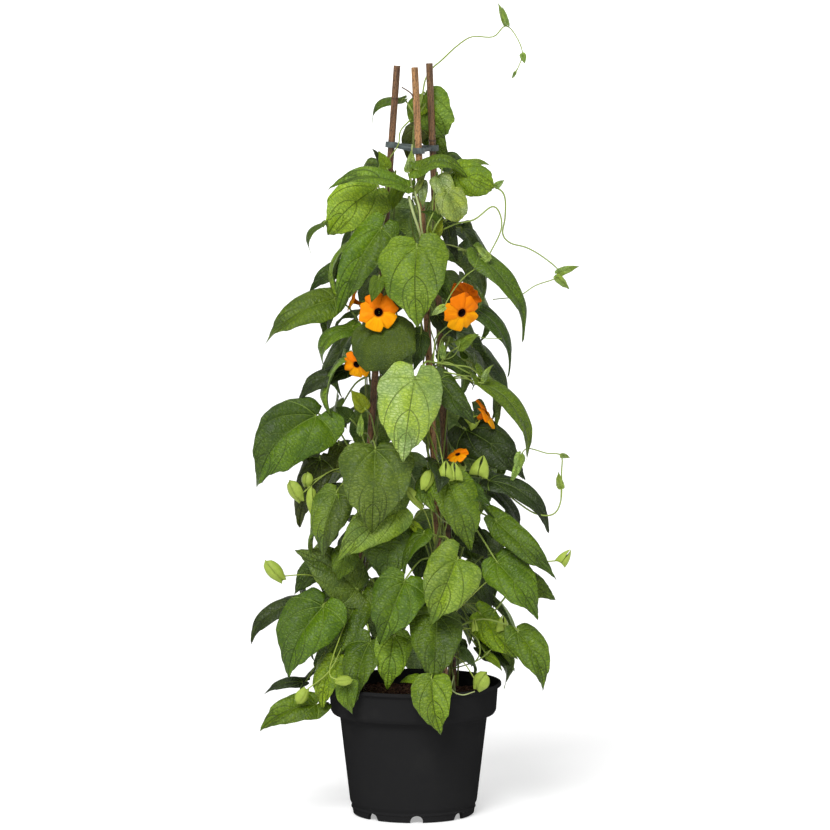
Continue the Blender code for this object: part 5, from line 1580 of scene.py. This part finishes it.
def leaf_material():
    """Living leaf: palmate veins, cross veins, a fine net and a quilted skin, with a painted sheen in
    places and painted shade in its grooves.
    """
    n = Nodes("leaf_skin")
    leaf, tint, rib = n.attribute("leaf"), n.attribute("tint"), n.attribute("rib")
    gap, branch, ladder = n.split(n.attribute("vein"))
    soft = n.math("SUBTRACT", n.noise(leaf, 0.22, 2.0), 0.5)
    cross = n.math("PINGPONG", n.math("ADD", ladder, n.times(soft, 1.6)), 0.5)
    main = n.math("MAXIMUM", n.ramp(gap, 0.75, 0.15),
                  n.ramp(n.math("ABSOLUTE", branch), 0.65, 0.12, 0.0, 0.9))
    groove = n.ramp(cross, 0.12, 0.0)
    across, along, own = n.split(leaf)
    drawn = n.join(n.times(across, 0.21), n.times(along, 0.42), own)
    warp = n.add("ShaderNodeVectorMath", 0, {"operation": "ADD"}, _0=drawn,
                 _1=n.noise(leaf, 0.3, 2.0, 0.5, 1))
    net = n.cells(warp, 1.0)
    fine = n.ramp(net, 0.12, 0.0)
    small = n.cells(warp, 2.3)
    blotch = n.noise(leaf, 0.05, 2.0)
    # Painted highlight: in broad zones the skin is painted a whitish sheen, broken up by the net
    painted_sheen_zone = n.noise(n.join(n.times(across, 0.05), n.times(along, 0.035), own),
                   1.0, 1.0)
    grain = n.noise(leaf, 1.1, 3.0)
    light = n.dyed(tint, (1.45, 1.3, 2.6))
    painted_sheen_tint = n.dyed(tint, (1.75, 1.5, 5.0))
    dark = n.dyed(tint, (0.34, 0.45, 0.6))
    sunny = n.dyed(tint, (1.3, 1.24, 0.4))
    colour = n.mix(n.ramp(blotch, 0.44, 0.62, 0.0, 0.8), tint, sunny)
    colour = n.mix(n.ramp(blotch, 0.5, 0.34, 0.0, 0.45), colour, dark)
    painted_sheen_mask = n.times(n.ramp(painted_sheen_zone, 0.47, 0.62), n.ramp(net, 0.05, 0.45, 0.25, 1.0))
    colour = n.mix(n.times(painted_sheen_mask, 0.6), colour, painted_sheen_tint)
    # The middles of the net's cells are lighter: partly the skin's own colour, partly a painted highlight
    # on their raised bulges
    colour = n.mix(n.ramp(net, 0.1, 0.5, 0.0, 0.6), colour, light)
    colour = n.mix(n.ramp(grain, 0.4, 0.7, 0.0, 0.15), colour, dark)
    # Cross veins and the fine net are darkened: partly their own colour, partly painted shade in their
    # grooves
    vein_colour_and_groove_shade = n.math("MAXIMUM", n.times(groove, 0.4), n.times(fine, 0.62))
    colour = n.mix(vein_colour_and_groove_shade, colour, dark)
    colour = n.mix(n.times(main, 0.85), colour, rib)
    height = n.times(n.ramp(net, 0.0, 0.35), 0.7)
    height = n.math("ADD", height, n.times(n.ramp(small, 0.0, 0.4), 0.16))
    height = n.math("ADD", height, n.times(n.ramp(cross, 0.0, 0.25), 0.3))
    height = n.math("SUBTRACT", height, n.times(main, 0.8))
    rough = n.ramp(grain, 0.2, 0.8, 0.4, 0.5)
    return n.finish(colour, rough, n.bump(height, 0.55, 1.0), Specular_IOR_Level=0.3)


def bract_material():
    """Pale bracts of the buds, with lengthwise ribs and a soft bloom of down."""
    n = Nodes("bract_skin")
    leaf, tint, rib = n.attribute("leaf"), n.attribute("tint"), n.attribute("rib")
    gap, _, _ = n.split(n.attribute("vein"))
    cloud = n.noise(leaf, 0.35, 3.0)
    line = n.ramp(gap, 0.45, 0.05)
    shaded_tint = n.dyed(tint, (0.72, 0.82, 0.6))
    colour = n.mix(n.ramp(cloud, 0.35, 0.7, 0.0, 0.6), tint, shaded_tint)
    colour = n.mix(n.times(line, 0.7), colour, rib)
    height = n.math("ADD", n.times(line, 0.7), n.times(cloud, 0.5))
    return n.finish(colour, 0.55, n.bump(height, 0.3, 0.8), Specular_IOR_Level=0.3)


def stem_material():
    """Green stems and stalks with lengthwise streaks and a little red."""
    n = Nodes("stem_skin")
    leaf = n.attribute("leaf")
    tint = n.attribute("tint")
    turn, length, _ = n.split(leaf)
    streak = n.noise(n.join(turn, n.times(length, 0.08), 0.0), 2.2, 3.0)
    patch = n.noise(n.join(0.0, n.times(length, 0.05), 3.0), 1.0, 2.0)
    dark = n.dyed(tint, (0.55, 0.55, 0.45))
    colour = n.mix(n.ramp(streak, 0.35, 0.7, 0.0, 0.5), tint, dark)
    colour = n.mix(n.ramp(patch, 0.55, 0.75, 0.0, 0.3), colour, (0.16, 0.07, 0.03))
    return n.finish(colour, n.ramp(streak, 0.2, 0.8, 0.42, 0.6), n.bump(streak, 0.1, 0.5))


def petal_material():
    """Velvety orange petals with fine rays, and a nearly black throat."""
    n = Nodes("petal_skin")
    throat, behind, raised = n.split(n.attribute("tint"))
    out, side, which = n.split(n.attribute("leaf"))
    rays = n.noise(n.join(n.times(side, 9.0), n.times(out, 1.1), which), 1.0, 4.0)
    cloud = n.noise(n.join(side, out, which), 1.4, 2.0)
    # Petals that point up are painted a deeper orange, a painted shade, with cloudy noise varying it at
    # random
    upward_shade_and_cloud = n.times(n.math("ADD", raised, cloud), 0.62)
    front = n.mix(n.ramp(upward_shade_and_cloud, 0.25, 0.85), (0.95, 0.41, 0.0), (0.86, 0.2, 0.0))
    front = n.mix(n.ramp(rays, 0.42, 0.75, 0.0, 0.4), front, (0.76, 0.18, 0.0))
    front = n.mix(n.ramp(out, 0.16, 0.0, 0.0, 0.7), front, (0.42, 0.08, 0.0))
    # The petals' backs are a darker red-orange: partly their own colour, partly painted shade
    back = n.mix(n.ramp(rays, 0.4, 0.7), (0.72, 0.16, 0.002), (0.5, 0.08, 0.002))
    colour = n.mix(behind, front, back)
    colour = n.mix(throat, colour, (0.012, 0.002, 0.003))
    return n.finish(colour, n.ramp(throat, 0.0, 1.0, 0.6, 0.8), n.bump(rays, 0.25, 0.6),
                    Specular_IOR_Level=0.08)


def pot_material():
    """Moulded black plastic, faintly cloudy with fine scuffs and dust near the rim."""
    n = Nodes("pot_plastic_fine")
    place = n.add("ShaderNodeTexCoord", "Object")
    x, y, z = n.split(place)
    cloud = n.noise(place, 28.0, 3.0)
    fine = n.noise(place, 900.0, 2.0)
    scuff = n.noise(n.join(n.times(x, 60.0), n.times(y, 60.0),
                           n.times(z, 900.0)), 1.0, 2.0)
    dust = n.times(n.ramp(cloud, 0.5, 0.72), n.ramp(z, 0.02, 0.115, 0.25, 0.7))
    colour = n.mix(dust, (0.0175, 0.0175, 0.018), (0.024, 0.0236, 0.0232))
    rough = n.math("ADD", n.ramp(cloud, 0.3, 0.7, 0.38, 0.48), n.ramp(scuff, 0.55, 0.8, 0.0, 0.12))
    relief = n.math("ADD", n.times(fine, 0.5), n.times(scuff, 0.3))
    return n.finish(colour, rough, n.bump(relief, 0.06, 0.5), Specular_IOR_Level=0.0)


def soil_material():
    """Dark red-brown peat with lighter fibres."""
    n = Nodes("peat")
    place = n.add("ShaderNodeTexCoord", "Object")
    shade, fibre, _ = n.split(n.attribute("tint"))
    grain = n.noise(place, 420.0, 5.0, 0.7)
    lump = n.noise(place, 90.0, 3.0)
    dark = n.mix(n.ramp(grain, 0.3, 0.7), (0.012, 0.005, 0.003), (0.06, 0.024, 0.014))
    brown = n.mix(n.ramp(lump, 0.4, 0.7, 0.0, 0.6), dark, (0.085, 0.032, 0.018))
    crumb = n.mix(n.times(shade, 0.5), brown, (0.11, 0.05, 0.028))
    colour = n.mix(fibre, crumb, (0.2, 0.11, 0.055))
    return n.finish(colour, n.ramp(grain, 0.2, 0.8, 0.85, 1.0), n.bump(grain, 0.6, 1.0),
                    Specular_IOR_Level=0.2)


def cane_material():
    """Stained bamboo: lengthwise fibres, dark flecks and darker rings at the nodes."""
    n = Nodes("bamboo_skin")
    turn, height, node = n.split(n.attribute("leaf"))
    tint = n.attribute("tint")
    fibre = n.noise(n.join(n.times(turn, 1.4), n.times(height, 0.045), 0.0), 1.0, 5.0)
    fleck = n.noise(n.join(n.times(turn, 0.9), n.times(height, 0.35), 4.0), 1.0, 4.0, 0.7)
    patch = n.noise(n.join(n.times(turn, 0.2), n.times(height, 0.03), 9.0), 1.0, 3.0)
    light = n.dyed(tint, (2.1, 1.9, 1.7))
    dark = n.dyed(tint, (0.26, 0.22, 0.2))
    colour = n.mix(n.ramp(fibre, 0.4, 0.62), tint, light)
    colour = n.mix(n.ramp(patch, 0.45, 0.68, 0.0, 0.65), colour, dark)
    colour = n.mix(n.ramp(fleck, 0.52, 0.6, 0.0, 0.9), colour, dark)
    colour = n.mix(n.ramp(node, 1.6, 0.3, 0.0, 0.7), colour, dark)
    colour = n.mix(n.ramp(node, 400.0, 450.0), colour, (0.3, 0.2, 0.12))
    relief = n.math("SUBTRACT", n.times(fibre, 0.6), n.times(fleck, 0.4))
    return n.finish(colour, n.ramp(fleck, 0.3, 0.7, 0.35, 0.6), n.bump(relief, 0.18, 0.7),
                    Specular_IOR_Level=0.35)


def clip_material():
    """Grey-green moulded plastic, weathered pale along its edges."""
    n = Nodes("clip_plastic_fine")
    place = n.add("ShaderNodeTexCoord", "Object")
    cloud = n.noise(place, 160.0, 4.0)
    edge = n.add("ShaderNodeNewGeometry", "Pointiness")
    colour = n.mix(n.ramp(cloud, 0.3, 0.7), (0.028, 0.04, 0.042), (0.075, 0.098, 0.096))
    colour = n.mix(n.ramp(edge, 0.52, 0.62, 0.0, 0.5), colour, (0.2, 0.24, 0.23))
    return n.finish(colour, n.ramp(cloud, 0.3, 0.7, 0.4, 0.6), n.bump(cloud, 0.15, 0.5))


def sun_light(name, way, energy, spread):
    """A wide soft light that shines evenly from a direction."""
    data = bpy.data.lights.new(name, "SUN")
    data.energy = energy
    data.angle = math.radians(spread)
    light = bpy.data.objects.new(name, data)
    light.rotation_euler = Vector(way).to_track_quat("Z", "Y").to_euler()
    bpy.context.scene.collection.objects.link(light)


def make_stage():
    """A wide pale floor that turns up all round into a backdrop, with soft studio light."""
    shape = bmesh.new()
    before = None
    for radius, height in STAGE:
        ring = [shape.verts.new(around(360.0 / 96 * k) * radius + up(height)) for k in range(96)]
        if before is None:
            shape.faces.new(ring)
        else:
            for k in range(96):
                j = (k + 1) % 96
                shape.faces.new((before[k], ring[k], ring[j], before[j]))
        before = ring
    mesh = mesh_from(shape, "floor")
    mesh.shade_smooth()
    floor = bpy.data.objects.new("floor", mesh)
    bpy.context.scene.collection.objects.link(floor)
    n = Nodes("floor_white")
    place = n.add("ShaderNodeTexCoord", "Object")
    cloud = n.noise(place, 0.8, 2.0)
    bright, brightest = (0.66 / EXPOSED,) * 3, (0.69 / EXPOSED,) * 3
    mesh.materials.append(n.finish(n.mix(cloud, bright, brightest), 0.9, Specular_IOR_Level=0.1,
                                   Emission_Color=(1.0, 1.0, 1.0, 1.0), Emission_Strength=FLOOR_GLOW))
    world = bpy.data.worlds.new("studio")
    world.use_nodes = True
    world.node_tree.nodes["Background"].inputs[0].default_value = (1.0, 1.0, 1.0, 1.0)
    world.node_tree.nodes["Background"].inputs[1].default_value = WORLD_LIGHT
    bpy.context.scene.world = world
    sun_light("key", (-0.28, -0.95, 0.85), 3.3, 30.0)
    sun_light("fill", (0.65, -0.8, 0.5), 0.6, 50.0)
    sun_light("top", (0.0, 0.3, 1.0), 1.1, 90.0)


def make_camera():
    """The camera at the photograph's eye."""
    data = bpy.data.cameras.new("camera")
    data.sensor_width = SENSOR
    data.lens = LENS
    data.clip_end = 50.0
    camera = bpy.data.objects.new("camera", data)
    place = Vector((EYE_X, -EYE_DISTANCE, EYE_HEIGHT)) * MM
    aim = Vector((EYE_X, 0.0, AIM_HEIGHT)) * MM
    camera.location = place
    camera.rotation_euler = (aim - place).to_track_quat("-Z", "Y").to_euler()
    bpy.context.scene.collection.objects.link(camera)
    bpy.context.scene.camera = camera


make_camera()
make_stage()
bpy.context.scene.view_settings.view_transform = "Standard"
make_pot(pot_material())
make_soil(soil_material())
cane_look = cane_material()
leaf_look = leaf_material()
bract_look = bract_material()
stem_look = stem_material()
petal_look = petal_material()
for cane_side in CANES:
    make_cane(cane_side, cane_look)
    make_vine(cane_side, leaf_look, bract_look, stem_look)
make_clip(clip_material())
for bloom_index, bloom_row in enumerate(BLOOMS):
    make_bloom(bloom_row, bloom_index, petal_look)
